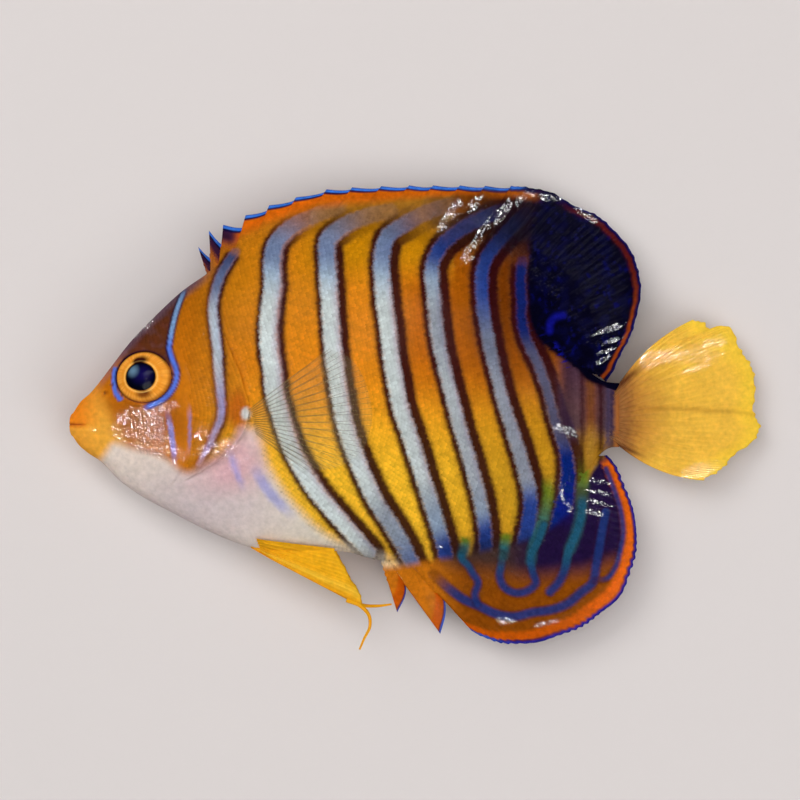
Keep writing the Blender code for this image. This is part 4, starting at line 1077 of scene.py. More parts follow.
def paint_back_fin(x, y, rim, soft=False):
    """The back fin: stripes that fade towards an orange margin with a blue rim, and a navy lobe behind."""
    colour = paint_body(x, y)
    high = ramp(y - back(x), 0.2, 4.4)
    colour = layers(
        colour,
        ("dusk", high * 0.3 * (1 - ramp(x, 46, 52))),
        ("fin brown", ramp(y - back(x), -0.5, 3.0) * 0.3 * (x < 30)),
    )
    shaded = ramp(y - back(x), -0.8, 1.0) * ramp(x, 24, 32) * (1 - ramp(x, 50, 54))
    colour = colour * (1 - 0.25 * shaded)[:, None]
    corner = ramp(x, 45, 55) * ramp(y, 16.5, 21.5)
    colour = lay(colour, srgb(70, 42, 8), corner * 0.25)
    colour = colour * (1 - 0.7 * corner)[:, None]
    colour = lay(colour, "navy", ramp(x, 50, 58) * ramp(y, 15.8, 20.5) * 0.8)
    reach = np.interp(x, (38, 49), (3.6, 1.7))
    toward_rim = 1 - ramp(rim, reach / 3, reach)
    colour = lay(colour, "fin orange", toward_rim * 0.92 * (1 - ramp(x, 47, 54)))
    colour = colour * (1 - 0.14 * toward_rim * ramp(x, 27, 38))[:, None]
    colour = lay(colour, "fin brown", (1 - ramp(rim, 0.9, 2.2)) * ramp(x, 49, 55) * (1 - ramp(x, 57, 60)) * 0.85)
    lobe = navy_share(x, y)
    colour = lay(colour, "navy", lobe)
    specks = ramp(wander(x, y * 0.55, 0.42, 21.0), 0.18, 0.42) * ramp(wander(x, y, 2.2, 4.0), -0.25, 0.2)
    colour = layers(
        colour,
        ("night blue", (specks * 0.2 + 0.06 * ramp(wander(x, y, 1.3, 8.0), -0.1, 0.4)) * lobe),
        (srgb(20, 20, 190), specks * lobe * blot(x, y, 61.5, 11.0, 6.5, 5.0, 0.9) * 0.07),
    )
    for line, half in ((BLUE_HOOK, 0.42), (LOWER_HOOK, 0.26)):
        colour = lay(colour, srgb(16, 18, 132), (1 - ramp(np.abs(line(x, y)[0]), half - 0.3, half + 0.3)) * 0.8)
    if soft:
        rear = ramp(x, 60.5, 64.5)
        warm = ramp(rim, 0.34, 0.52) * (1 - ramp(rim, 0.78, 1.2)) * rear
        tint = lay(np.tile(srgb(84, 20, 16), (len(x), 1)), srgb(150, 62, 16), ramp(-y, -19, -6))
        colour = layers(
            colour,
            (tint, warm * 0.95),
            ("rim violet", (1 - ramp(rim, 0.1, 0.3)) * ramp(x, 59, 66) * 0.55),
            ("ink", bump(rim - 0.34, 0.13) * ramp(x, 57, 60) * 0.9),
        )
    colour = lay(colour, "ink", (1 - ramp(rim, 1.4, 3.2)) * (1 - ramp(x, 20.0, 21.6)) * 0.95)
    front = 1 - ramp(x, 55.6, 57.4)
    black = (1 - ramp(rim, 0.6, 0.84)) * (1 - ramp(x, 58, 61))
    colour = layers(
        colour,
        ("ink", black),
        ("rim blue", (1 - ramp(rim, 0.36, 0.48)) * front),
        ("ink", (1 - ramp(rim, 0.02, 0.1)) * front * 0.6),
    )
    return colour


def paint_soft_lobe(x, y, rim):
    """The soft lobe has a warm band inside its rim too."""
    return paint_back_fin(x, y, rim, soft=True)


# %% The colours of the fin under the tail
ANAL_BANDS = {
    "main": (((45.5, -21.8), (47.4, -23.6), (49.0, -24.8), (51.2, -25.8), (53.1, -26.7), (55.5, -27.1), (57.8, -26.6),
              (60.4, -26.2),
              (62.2, -25.5), (63.9, -24.1), (65.3, -22.9), (65.8, -20.6), (66.2, -18.4), (66.6, -16.0),
              (67.0, -14.0)), 0.52),
    "snake": (((48.9, -18.6), (49.0, -19.9), (49.7, -20.6), (50.3, -21.6), (51.0, -22.8), (50.6, -24.4),
              (50.9, -25.5)), 0.42),
    "loop": (((65.7, -22.6), (67.2, -22.3), (68.1, -21.2), (68.8, -19.0), (69.2, -16.7), (69.0, -14.4), (67.9, -10.8),
              (67.0, -8.6)), 0.28),
    "cup": (((54.0, -19.2), (53.9, -20.6), (53.7, -22.0), (54.2, -23.3), (55.6, -24.1), (57.1, -23.9), (58.2, -22.9),
              (57.8, -21.4),
             (57.6, -19.5), (58.5, -17.6), (59.2, -15.6)), 0.45),
    "hook": (((64.0, -11.5), (63.9, -14.5), (63.3, -16.6), (62.3, -19.0), (61.9, -21.0), (61.1, -22.8),
              (60.0, -24.0)), 0.5),
}
anal_bands = measured(ANAL_BANDS)


def paint_anal_fin(x, y, rim):
    """Orange with blue bands, darker and navy behind, with a bright orange margin and a serrated blue rim."""
    body = paint_body(x, y)
    colour = np.tile(srgb(130, 66, 8), (len(x), 1))
    colour = lay(colour, srgb(192, 108, 18), 1 - ramp(x, 44.5, 50))
    dark_to = np.interp(x, (43, 47, 53, 58, 64, 68), (-19.4, -20.4, -21.2, -21.9, -21.3, -19.8))
    deep = ramp(y - dark_to, -1.8, 1.6) * ramp(x, 44, 48)
    tint = lay(np.tile(srgb(62, 44, 40), (len(x), 1)), srgb(14, 10, 54), ramp(x, 53, 59))
    colour = lay(colour, tint, deep * 0.96)
    into = ramp(belly(x) - y, 0.2, 1.5)
    colour = body + (colour - body) * into[:, None]
    colour = lay(colour, "night blue", bump(x - 61.6, 1.25) * ramp(y, -16.5, -12) * 0.8)
    colour = lay_green(colour, x, y)
    outer = 1 - ramp(rim, 1.6, 2.3)
    margin = lay(np.tile(srgb(188, 82, 8), (len(x), 1)), srgb(222, 98, 14), ramp(x, 61, 68))
    colour = lay(colour, margin, outer * 0.95 * ramp(belly(x) - y, 0.6, 2.0))
    for name, (measure, half) in anal_bands.items():
        away, share = measure(x, y)
        band = 1 - ramp(np.abs(away), half - 0.2, half + 0.2)
        greenish = name in ("cup", "hook", "snake")
        tint = lay(np.tile(TINTS["anal blue"], (len(x), 1)), "teal", greenish * ramp(y, -22.5, -19) * 0.6)
        colour = layers(
            colour,
            ("maroon", (1 - ramp(np.abs(away), half, half + 0.45)) * 0.45),
            (tint, band * 0.9 * ramp(share, 0, 0.12)),
        )
    ahead = 1 - ramp(x, 47.5, 50)
    blue_rim = np.interp(x, (38, 44, 47, 52, 60, 72), (0.1, 0.22, 0.3, 0.55, 0.42, 0.3))
    colour = lay(colour, "ink", (1 - ramp(rim, blue_rim + 0.05, blue_rim + 0.3)) * 0.85)
    tint = lay(np.tile(TINTS["rim violet"], (len(x), 1)), "rim blue", ahead * 0.5 + bump(x - 51, 2.5) * 0.5)
    colour = lay(colour, tint, 1 - ramp(rim, blue_rim - 0.1, blue_rim + 0.08))
    return colour


# %% The back fin
def dress_fin(piece, fin, paint, slot, node, *more):
    """Paints both faces of a fin from its place and its distance from the rim, and dresses it."""
    flat = [values.reshape(-1) for values in np.broadcast_arrays(fin.x, fin.y, fin.rim, *more)]
    set_colours(piece, np.vstack([paint(*flat)] * 2))
    dress(piece, slot, node)


DORSAL_SPINES = (
    (17.2, 15.95, 19.2, 0), (17.9, 17.3, 21.25, 3.6), (19.0, 19.1, 21.95, 2.5), (21.0, 21.9, 23.15, 1.6),
    (23.25, 24.85, 24.4, 0.7), (25.75, 28.2, 25.4, 0.45), (28.6, 32.05, 26.4, 0.4), (31.5, 35.25, 26.65, 0.34),
    (34.5, 38.9, 26.8, 0.3), (37.5, 42.4, 26.9, 0.28), (40.4, 45.4, 26.9, 0.26), (43.4, 48.75, 26.9, 0.24),
    (46.4, 51.9, 26.85, 0.22), (49.4, 55.1, 26.75, 0.2),
)
SPINE_WIDTH, SPINE_COLUMNS = 0.2, 12
SOFT_DORSAL_BASE = (49.4, 66.0)
SOFT_DORSAL_MARGIN = (
    (55.1, 26.75), (56.6, 26.7), (58.6, 26.45), (60.1, 26.05), (62, 24.95), (66.4, 22.75), (69, 20.3),
    (70.9, 17.1), (71.4, 13.75), (70.5, 9.1), (68.6, 5), (67.5, 2.95), (67.0, 2.3),
)
SOFT_DORSAL_RAYS = 20


def spiny_columns(spines):
    """Columns over all spines: the skin falls behind each tip, and stays low until the next spine."""
    roots, tips, spine = [], [], []
    for (root_x, tip_x, tip_y, _), (next_x, next_tip_x, next_tip_y, drop) in zip(spines[:-1], spines[1:]):
        tip, next_tip = np.array([tip_x, tip_y]), np.array([next_tip_x, next_tip_y])
        next_root = edge_points(back, next_x, 1)[0]
        low = next_tip + (next_root - next_tip) * drop / np.linalg.norm(next_root - next_tip)
        shares = np.linspace(0, 1, SPINE_COLUMNS + 1)[:-1]
        for share in shares:
            roots.append(edge_points(back, root_x + (next_x - 0.08 - root_x) * share, 1)[0])
            fall = min(share / 0.75, 1)
            sag = 0.12 * math.sin(math.pi * fall)
            tips.append(tip + (low - tip) * (1 - (1 - fall) ** 1.35) - np.array([0, sag]))
            spine.append(share)
    root_x, tip_x, tip_y, _ = spines[-1]
    roots.append(edge_points(back, root_x, 1)[0])
    tips.append(np.array([tip_x, tip_y]))
    spine.append(0.0)
    return np.array(roots), np.array(tips), np.array(spine)


roots, tips, after_spine = spiny_columns(DORSAL_SPINES)
fin = Fin(roots, tips, 52, droop, sunk=FILLET_SUNK)
spine_ridge = bump(after_spine[:, None] * 2.9, SPINE_WIDTH * 1.6) + bump((after_spine[:, None] - 1) * 2.9, 0.12)
thickness = ray_thickness(fin, np.full((fin.columns, 1), 0.5), (), 0.5, spine=spine_ridge * 1.4, root_length=3.4)
thickness = thickness + fillet(fin, front=5.0)
spiny_sheet = fin
fin_finish = wet_finish("wet_fin", roughness=0.36, coat_roughness=0.06, bumps=0.4, grain=0.22, soft=0.06)
back_fin_spiny = fin.mesh("back_fin_spiny", thickness, fin_finish)
dress_fin(back_fin_spiny, fin, paint_back_fin, "fin_orange", "dorsal_fin_spiny")

# %% The soft lobe of the back fin


def soft_fin(name, root_line, margin, rays, per_ray, rows, height, forks, root_thickness, tooth, material, **shape):
    """A fin on soft rays between a root line and a margin with a small tooth at each ray."""
    shares = np.linspace(0, 1, (rays - 1) * per_ray + 1)
    phase = shares * (rays - 1)
    roots, tips = path(root_line)(shares), path(margin)(shares)
    run = tips - roots
    length = np.linalg.norm(run, axis=1)[:, None]
    teeth = 0.45 * np.cos(4 * math.pi * phase) * (0.6 + 0.5 * np.sin(1.3 * phase)) + 0.5 * np.cos(2 * math.pi * phase)
    teeth = teeth + 0.6 * np.sin(2.1 * phase + 0.8)
    tips = tips + run / length * (tooth * teeth)[:, None]
    sheet = Fin(roots, tips, rows, height, shape.get("sunk", ROOT_SUNK), shape.get("bow"))
    thickness = ray_thickness(
        sheet, phase[:, None], forks, root_thickness, shape.get("ray", RAY_THICKNESS), shape.get("root_length", 4.0)
    )
    if "fillet" in shape:
        thickness = thickness + fillet(sheet, *shape["fillet"])
        left = np.cumsum(np.linalg.norm(np.diff(roots[::-1], axis=0, prepend=roots[-1:]), axis=1))[::-1]
        thickness = thickness * (0.25 + 0.75 * ramp(left, 0, 2.0))[:, None]
    piece = sheet.mesh(name, thickness, material)
    return sheet, piece, phase


def base_line(edge, base, sign):
    """The root line of a fin on an edge of the body."""
    return edge_points(edge, np.linspace(*base, 40), sign)


soft_sheet, back_fin_soft, _ = soft_fin(
    "back_fin_soft", base_line(back, SOFT_DORSAL_BASE, 1), SOFT_DORSAL_MARGIN, SOFT_DORSAL_RAYS, 11, 56, droop,
    (0.35, 0.68), 0.5, 0.09, fin_finish, sunk=FILLET_SUNK, fillet=(0.0, 3.0),
)
dress_fin(back_fin_soft, soft_sheet, paint_soft_lobe, "fin_blue", "dorsal_fin_soft")

# %% The fin under the tail
ANAL_SPINES = ((39.0, 40.9, -26.6), (40.2, 46.3, -29.3), (42.2, 50.2, -28.9))
ANAL_NOTCHES = ((39.6, 42.0, -23.4), (41.3, 46.9, -25.1))
ANAL_BASE, ANAL_RAYS = (42.9, 66.3), 20
ANAL_MARGIN = (
    (51.3, -29.55), (54.6, -30.55), (57.1, -30.5), (61.05, -29.6), (65.95, -27.1), (69.2, -23.9), (70.4, -20.6),
    (70.95, -16.5), (70.5, -14.1), (69, -9.75), (68, -7.9), (67.2, -6.9),
)


def anal_front():
    """Columns over the three spines: each has a straight front edge, and a notch behind it."""
    roots, tips, ridge = [], [], []
    for index, (spine, notch) in enumerate(zip(ANAL_SPINES, ANAL_NOTCHES + (None,))):
        tip = np.array(spine[1:])
        if notch is None:
            roots.append(edge_points(belly, spine[0], -1)[0])
            tips.append(tip)
            ridge.append(1.0)
            break
        low = np.array(notch[1:])
        next_root = ANAL_SPINES[index + 1][0]
        for share in np.linspace(0, 1, 19)[:-1]:
            roots.append(edge_points(belly, spine[0] + (next_root - 0.12 - spine[0]) * share, -1)[0])
            fall = min(share / 0.9, 1)
            tips.append(tip + (low - tip) * fall ** 0.8 + np.array([0.5, 0]) * math.sin(math.pi * fall) * 0.6)
            ridge.append(float(bump(share * 3.4, 0.5)))
    return np.array(roots), np.array(tips), np.array(ridge)


roots, tips, spine = anal_front()
shares = np.linspace(0, 1, (ANAL_RAYS - 1) * 11 + 1)
phase = np.concatenate([np.full(len(roots), 0.5), shares * (ANAL_RAYS - 1)])
soft_tips = path(ANAL_MARGIN)(shares)
soft_roots = path(base_line(belly, ANAL_BASE, -1))(shares)
run = soft_tips - soft_roots
teeth = np.cos(4 * math.pi * shares * (ANAL_RAYS - 1) + 2.5 * np.sin(17 * shares)) * (0.6 + 0.5 * np.sin(23 * shares))
soft_tips = soft_tips + run / np.linalg.norm(run, axis=1)[:, None] * (0.1 * teeth + 0.08 * np.sin(41 * shares))[:, None]
fin = Fin(np.vstack([roots, soft_roots]), np.vstack([tips, soft_tips]), 60, droop, sunk=FILLET_SUNK)
spine = np.concatenate([spine, bump(shares * 40, 0.6)])
thickness = ray_thickness(fin, phase[:, None], (0.35, 0.68), 0.5, spine=spine[:, None] * 1.5)
thickness = thickness + fillet(fin, 3.0, 2.5)
under_sheet = fin
dress_fin(fin.mesh("anal_fin_sheet", thickness, fin_finish), fin, paint_anal_fin, "fin_orange", "anal_fin")

# %% The tail fin
CAUDAL_START, CAUDAL_TOP, CAUDAL_BOTTOM = 68.6, 1.9, -5.7
CAUDAL_MARGIN = (
    (77.75, 9.9), (79.1, 9.75), (80.3, 9.0), (81.4, 9.4), (82.8, 8.9), (83.7, 7.2), (84.9, 5.1), (85.8, 3.25),
    (86.1, 1.2), (85.6, -1.1),
    (86.7, -3.45), (85.5, -5.3), (83.3, -6.95), (81.1, -9), (79.35, -10.1),
)
CAUDAL_FARTHEST, CAUDAL_DROOP, CAUDAL_BOW = 86.7, 3.4, 0.95
TAIL_FOLD = drawn_line(((67.5, -1.2), (73.8, -1.1), (80.0, -1.3), (85.6, -1.8), (88.0, -2.3)))


def tail_height(x, y, out):
    """The tail fin sags towards the floor, with a low ridge where its two halves meet."""
    sag = -CAUDAL_DROOP * np.clip((x - CAUDAL_START) / (CAUDAL_FARTHEST - CAUDAL_START), 0, 1.05) ** 1.6
    away, _ = TAIL_FOLD(x, y)
    return sag - 0.07 * bump(away, 0.6) * ramp(x, 70, 76) + 0.1 * np.sin(y * 0.9 + x * 0.25) * ramp(x, 72, 84)


def paint_tail(x, y, rim, out, phase):
    """Clear yellow at the margin and ochre at the root, with a fine dark line along each ray, and a painted shadow
    along the fold.
    """
    colour = np.tile(TINTS["tail"], (len(x), 1))
    colour = lay(colour, srgb(246, 198, 62), 1 - ramp(rim, 0.5, 3.6))
    near = 1 - ramp(out, 0.05, 0.5)
    colour = layers(
        colour,
        ("tail root", near * 0.9),
        ("brown", (1 - ramp(out + 0.08 * wander(x, y, 0.5, 31.0), 0.0, 0.16)) * 0.75),
    )
    between = 1 - forked_ridge(phase, out, (0.3, 0.55, 0.8))
    colour = layers(
        colour,
        (srgb(190, 132, 34), between * 0.2 * (1 - ramp(out, 0.4, 0.9))),
        (srgb(158, 106, 62), (1 - ramp(x, 68.6, 71.2)) * 0.75),
    )
    edges = bump(y - 1.9 - 0.75 * (x - 68.6), 0.5) + bump(y + 5.7 + 0.42 * (x - 68.6), 0.3)
    colour = lay(colour, "forehead", edges * (1 - ramp(x, 69.5, 73)) * 0.8)
    # Painted shadow: a darker line along the fold of the tail
    away, _ = TAIL_FOLD(x, y)
    colour = lay(colour, srgb(146, 84, 16), bump(away, 0.3) * ramp(x, 70, 74) * 0.3)
    return mottle(x, y, colour, 3.0)


tail_finish = wet_finish("wet_tail", roughness=0.36, coat_roughness=0.06, bumps=0.35, grain=0.1, soft=0.16)
sheet, tail_fin, phase = soft_fin(
    "tail_fin_sheet", ((CAUDAL_START, CAUDAL_TOP), (CAUDAL_START, CAUDAL_BOTTOM)),
    CAUDAL_MARGIN, 18, 15, 60, tail_height,
    (0.3, 0.55, 0.8), 2.1, 0.2, tail_finish, sunk=1.8, bow=lambda s: CAUDAL_BOW * np.cos(math.pi * s), ray=0.3,
    root_length=3.0,
)
dress_fin(tail_fin, sheet, paint_tail, "fin_yellow", "caudal_fin", sheet.out, phase[:, None])

# %% [markdown]
# ## Side fins and belly fins
# The side fin is nearly clear: what shows is a fan of fine rays over the stripes. Its skin is a very thin sheet
# with a low alpha, and its rays are a second piece. The rays are tubes that follow lines, so Geometry Nodes
# make them: a line for each ray, a radius on each point, and a round profile swept along.

# %% Tubes along lines, by Geometry Nodes


def new_tree(name, **inputs):
    """A Geometry Nodes tree with these inputs beside its geometry, a helper that adds a node, and its inputs."""
    tree = bpy.data.node_groups.new(name, "GeometryNodeTree")
    for label, kind in {"Geometry": "Geometry", **inputs}.items():
        tree.interface.new_socket(label, in_out="INPUT", socket_type="NodeSocket" + kind)
    tree.interface.new_socket("Geometry", in_out="OUTPUT", socket_type="NodeSocketGeometry")
    add = adder(tree)
    return tree, add, add("NodeGroupInput").outputs


def end_tree(add, geometry, given):
    """Sets the finish on what a tree has grown, and hands it out."""
    finished = add("GeometryNodeSetMaterial", Geometry=geometry, Material=given["Finish"])
    add("NodeGroupOutput", Geometry=finished.outputs["Geometry"])


def tube_tree():
    """A node tree that sweeps a round profile along the edges of a mesh, as thick as its points say."""
    tree, add, given = new_tree("tubes_along_lines", Sides="Int", Finish="Material")
    thick = add("GeometryNodeInputNamedAttribute", data_type="FLOAT", Name="thick").outputs["Attribute"]
    profile = add("GeometryNodeCurvePrimitiveCircle", Radius=1.0, Resolution=given["Sides"]).outputs["Curve"]
    curve = add("GeometryNodeMeshToCurve", Mesh=given["Geometry"]).outputs["Curve"]
    curve = add("GeometryNodeSetCurveRadius", Curve=curve, Radius=thick).outputs["Curve"]
    sweep = add("GeometryNodeCurveToMesh", Curve=curve, Profile_Curve=profile, Fill_Caps=True)
    if "Scale" in sweep.inputs:
        plug(sweep, Scale=thick)
    solid = add("GeometryNodeRealizeInstances", Geometry=sweep.outputs["Mesh"])
    end_tree(add, solid.outputs["Geometry"], given)
    return tree


def grown(name, base, tree, settings):
    """Runs a tree on a mesh with these inputs, and returns the result as a plain piece."""
    seed = bpy.data.objects.new(name + "_seed", base)
    bpy.context.scene.collection.objects.link(seed)
    modifier = seed.modifiers.new("grow", "NODES")
    modifier.node_group = tree
    for item in tree.interface.items_tree:
        if item.item_type == "SOCKET" and item.in_out == "INPUT" and item.name in settings:
            modifier[item.identifier] = settings[item.name]
    bpy.context.view_layer.update()
    graph = bpy.context.evaluated_depsgraph_get()
    mesh = bpy.data.meshes.new_from_object(seed.evaluated_get(graph), depsgraph=graph)
    bpy.data.objects.remove(seed)
    mesh.name = name
    mesh.shade_smooth()
    piece = bpy.data.objects.new(name, mesh)
    bpy.context.scene.collection.objects.link(piece)
    return piece


TUBES = tube_tree()


def tubes(name, lines, radii, material, sides=8):
    """A closed tube along each line of points, with a radius for each point, in millimetres."""
    mesh = bpy.data.meshes.new(name + "_lines")
    points, edges = [], []
    for line in lines:
        edges += [(len(points) + k, len(points) + k + 1) for k in range(len(line) - 1)]
        points += list(line)
    mesh.from_pydata(to_frame(points).tolist(), edges, [])
    layer = mesh.attributes.new("thick", "FLOAT", "POINT")
    layer.data.foreach_set("value", (np.concatenate(radii) * MM).astype(np.float32))
    return grown(name, mesh, TUBES, {"Sides": sides, "Finish": material})


# %% Plain wet finishes of rays and threads
TINT_PATCH = 1.2 * MM


def plain_wet(name, tint, second, alpha=1.0, soft=0.0):
    """Two close tints in slow patches under a wet coat; alpha under 1 lets the flank show through."""
    material, shader, add = new_material(name)
    place = add("ShaderNodeTexCoord").outputs["Object"]
    patches = add("ShaderNodeTexNoise", Vector=place, Scale=1 / TINT_PATCH, Detail=4.0).outputs["Fac"]
    mix = add("ShaderNodeMix", data_type="RGBA", A=(*tint, 1), B=(*second, 1), Factor=patches)
    relief = add("ShaderNodeBump", Strength=0.3, Distance=0.04 * MM, Height=patches)
    plug(
        shader, Base_Color=mix.outputs["Result"], Normal=relief.outputs["Normal"], Roughness=0.3, Alpha=alpha,
        Specular_IOR_Level=0.0, Coat_Weight=0.004, Coat_Roughness=0.06, Subsurface_Weight=soft,
        Subsurface_Scale=0.5 * MM,
    )
    return material


# %% The side fins
PECTORAL_ROOT = ((22.9, -1.0), (23.7, -4.3))
PECTORAL_MARGIN = ((32.6, 6.3), (35.3, 5), (37.2, 1.5), (37.8, -2.5), (36.6, -6.2), (33.5, -8.3), (29.5, -8.6))
PECTORAL_RAYS, FOLD_SPREAD, PECTORAL_LIFT = 17, 0.45, 0.7
pectoral_skin = plain_wet("side_fin_skin", srgb(226, 214, 170), srgb(206, 190, 130), alpha=0.03)
pectoral_ray = plain_wet("side_fin_ray", srgb(176, 156, 96), srgb(134, 100, 44), alpha=0.2)


def pectoral_tips(side, shares):
    """The margin of a side fin: spread on the left, half closed and turned down on the right."""
    spread, turn = (1, 0) if side > 0 else (FOLD_SPREAD, FOLD_TURN)
    rays = path(PECTORAL_MARGIN)(shares) - np.array(FOLD_PIVOT)
    heading = np.arctan2(rays[:, 1], rays[:, 0]) * spread + turn
    length = np.linalg.norm(rays, axis=1)
    return np.array(FOLD_PIVOT) + np.column_stack([length * np.cos(heading), length * np.sin(heading)])


for side, word in SIDES:

    def along_flank(x, y, out, side=side):
        return side * (flank(x, y, side) + PECTORAL_LIFT)

    shares = np.linspace(0, 1, (PECTORAL_RAYS - 1) * 6 + 1)
    roots, tips = path(PECTORAL_ROOT)(shares), pectoral_tips(side, shares)
    fin = Fin(roots, tips, 34, along_flank, sunk=0.9)
    fin.z -= side * 0.9 * (1 - ramp(fin.from_root, -0.9, 1.6))
    web = fin.mesh(f"side_fin_web_{word}", np.full(fin.x.shape, 0.07), pectoral_skin)
    dress(web, "fin_clear", f"pectoral_fin_{word}")
    lines, radii = [], []
    for ray in range(PECTORAL_RAYS):
        column = ray * 6
        reach = 1.0 if ray > 0 else 0.96
        for fork in (-1, 1):
            own = np.clip(column + fork * 1.5 * ramp(np.linspace(0, 1, 34), 0.45, 1.0), 0, fin.columns - 1)
            low = np.floor(own).astype(int)
            high = np.minimum(low + 1, fin.columns - 1)
            part = (own - low)[:, None]
            place = np.stack([fin.x, fin.y, fin.z], axis=-1)
            rows = np.arange(34)
            lines.append(place[low, rows] * (1 - part) + place[high, rows] * part)
            radii.append(np.interp(rows / 33, (0, 0.25, 1), (0.05, 0.08, 0.03)) * reach)
    rays = tubes(f"side_fin_rays_{word}", lines, radii, pectoral_ray, sides=6)
    dress(rays, "fin_clear")

# %% The belly fins
PELVIC_ROOT = ((23.2, -18.7), (22.7, -17.1))
PELVIC_MARGIN = ((36.6, -25.9), (36.0, -23.7), (34.9, -22.2), (34.3, -20.9), (33.6, -19.6), (33.0, -18.4))
PELVIC_RAYS, PELVIC_HANG, PELVIC_LIFT, PELVIC_DIP = 7, 1.2, 0.7, 1.5
PELVIC_THREADS = {
    "left": ((34.6, -24.9), (36.4, -25.7), (37.4, -26.9), (37.5, -28.2), (36.8, -29.7), (36.2, -31.1)),
    "right": ((34.6, -24.9), (36.4, -25.7), (38.6, -25.8), (40.2, -25.6)),
}
THREAD_RADIUS = 0.3
thread_finish = plain_wet("thread", srgb(240, 172, 30), srgb(226, 148, 16), soft=0.15)


def paint_pelvic(x, y, rim, out, share):
    """Bright yellow, deeper along the front edge and paler between the rays."""
    colour = np.tile(TINTS["pelvic"], (len(x), 1))
    colour = layers(
        colour,
        (srgb(250, 208, 74), bump(share - 0.22, 0.1) * 0.5),
        (srgb(220, 140, 14), bump(share, 0.09) * 0.7 + (1 - ramp(out, 0, 0.3)) * 0.3),
        (srgb(214, 150, 30), (1 - forked_ridge(share * (PELVIC_RAYS - 1), out, (0.5,))) * 0.35),
    )
    return mottle(x, y, colour, 8.0)


for side, word in SIDES:

    def pelvic_height(x, y, out, side=side):
        over = flank(x, np.maximum(y, belly(x) + 0.4), side)
        hang = ramp(-y, -belly(x), -belly(x) + 6)
        return side * (over + PELVIC_LIFT - PELVIC_HANG * hang - PELVIC_DIP * (1 - ramp(out, 0, 0.2)))

    sheet, pelvic, phase = soft_fin(
        f"belly_fin_{word}", PELVIC_ROOT, PELVIC_MARGIN, PELVIC_RAYS, 14, 44, pelvic_height, (0.5,), 0.7, 0.1,
        tail_finish, sunk=0.5, ray=0.34,
    )
    share = phase[:, None] / (PELVIC_RAYS - 1)
    dress_fin(pelvic, sheet, paint_pelvic, "fin_yellow", f"pelvic_fin_{word}", sheet.out, share)
    line = path(PELVIC_THREADS[word])(np.linspace(0, 1, 40))
    line = np.column_stack([line, pelvic_height(line[:, 0], line[:, 1], 1)])
    thread = tubes(f"belly_fin_thread_{word}", [line], [np.linspace(THREAD_RADIUS, 0.12, 40)], thread_finish, sides=12)
    dress(thread, "fin_yellow")

# %% [markdown]
# ## Eyes
# A fish has no lids: the eye is a flattened ball in a socket with a raised rim. The iris is gold with brown
# patches above and below, and a bright thin ring round a large pupil. The ball is made of rings about its own
# axis, close together near the middle, so that the pupil's edge is clean. The coat on it is as smooth as glass.

# %% The eyes
EYE_RINGS, EYE_SPOKES = 96, 144
PUPIL_X, PUPIL_Y, PUPIL_LENGTH, PUPIL_HEIGHT = 0.02, -0.12, 1.94, 1.74


def facing(x, y, side):
    """Where the skin is at a place seen from the side, and which way it faces."""
    at = np.array([x, x - 0.2, x + 0.2, x, x]), np.array([y, y, y, y - 0.2, y + 0.2])
    z = flank(*at, side)
    normal = Vector((-(z[2] - z[1]) / 0.4, -(z[4] - z[3]) / 0.4, side)).normalized()
    return np.array([x, y, side * z[0]]), normal


def paint_eye(a, b, radial, around_angle):
    """The iris and the pupil with painted reflections in it, by place on the eye seen from the front."""
    from_pupil = np.hypot((a - PUPIL_X) / PUPIL_LENGTH, (b - PUPIL_Y + 0.04 * a) / PUPIL_HEIGHT)
    from_pupil = from_pupil - 0.07 * bump(np.hypot(a + 1.5, b + 1.0), 0.9)
    streaks = wander(np.cos(around_angle) * 22, np.sin(around_angle) * 22, 1.0, 2.2)
    colour = np.tile(srgb(246, 162, 58), (len(a), 1))
    colour = layers(
        colour,
        (srgb(214, 122, 22), 0.45 * ramp(streaks, -0.1, 0.5) * ramp(radial, 0.45, 0.8)),
        (srgb(255, 188, 84), 0.5 * ramp(-streaks, 0, 0.5)),
        (srgb(232, 138, 30), bump(from_pupil - 1.32, 0.1) * 0.6),
        (srgb(150, 72, 20), ramp(radial, 0.86, 1.0) * 0.75),
    )
    above = blot(a, b, -0.05, 1.95, 0.85, 0.5, 0.6) + blot(a, b, -0.7, 1.6, 0.5, 0.5, 0.7) * 0.8
    above = above + bump(radial - 0.97, 0.05) * ramp(b, 0.8, 2.4)
    colour = lay(colour, srgb(56, 20, 12), above)
    below = blot(a, b, 0.3, -2.3, 0.9, 0.45, 0.7) * 0.85 + blot(a, b, 0.9, -1.9, 0.5, 0.3, 0.8) * 0.3
    colour = layers(
        colour,
        (srgb(96, 36, 14), below),
        (srgb(255, 214, 120), bump(from_pupil - 1.12, 0.035) * (1 - 0.7 * np.clip(above, 0, 1)) * 0.6),
        (srgb(20, 8, 8), 1 - ramp(from_pupil, 0.99, 1.05)),
        (srgb(3, 5, 16), 1 - ramp(from_pupil, 0.93, 1.0)),
    )
    inside = 1 - ramp(from_pupil, 0.82, 0.96)
    # Painted reflections in the pupil: an indigo sheen over its middle and a pale blue highlight at its upper front
    colour = layers(
        colour,
        (srgb(22, 14, 84), blot(a, b, 0.2, 0.1, 1.1, 0.9, 0.9) * 0.75 * inside),
        (srgb(104, 138, 162), blot(a, b, -1.0, 0.6, 0.6, 0.6, 0.9) * 0.85 * inside),
    )
    return colour


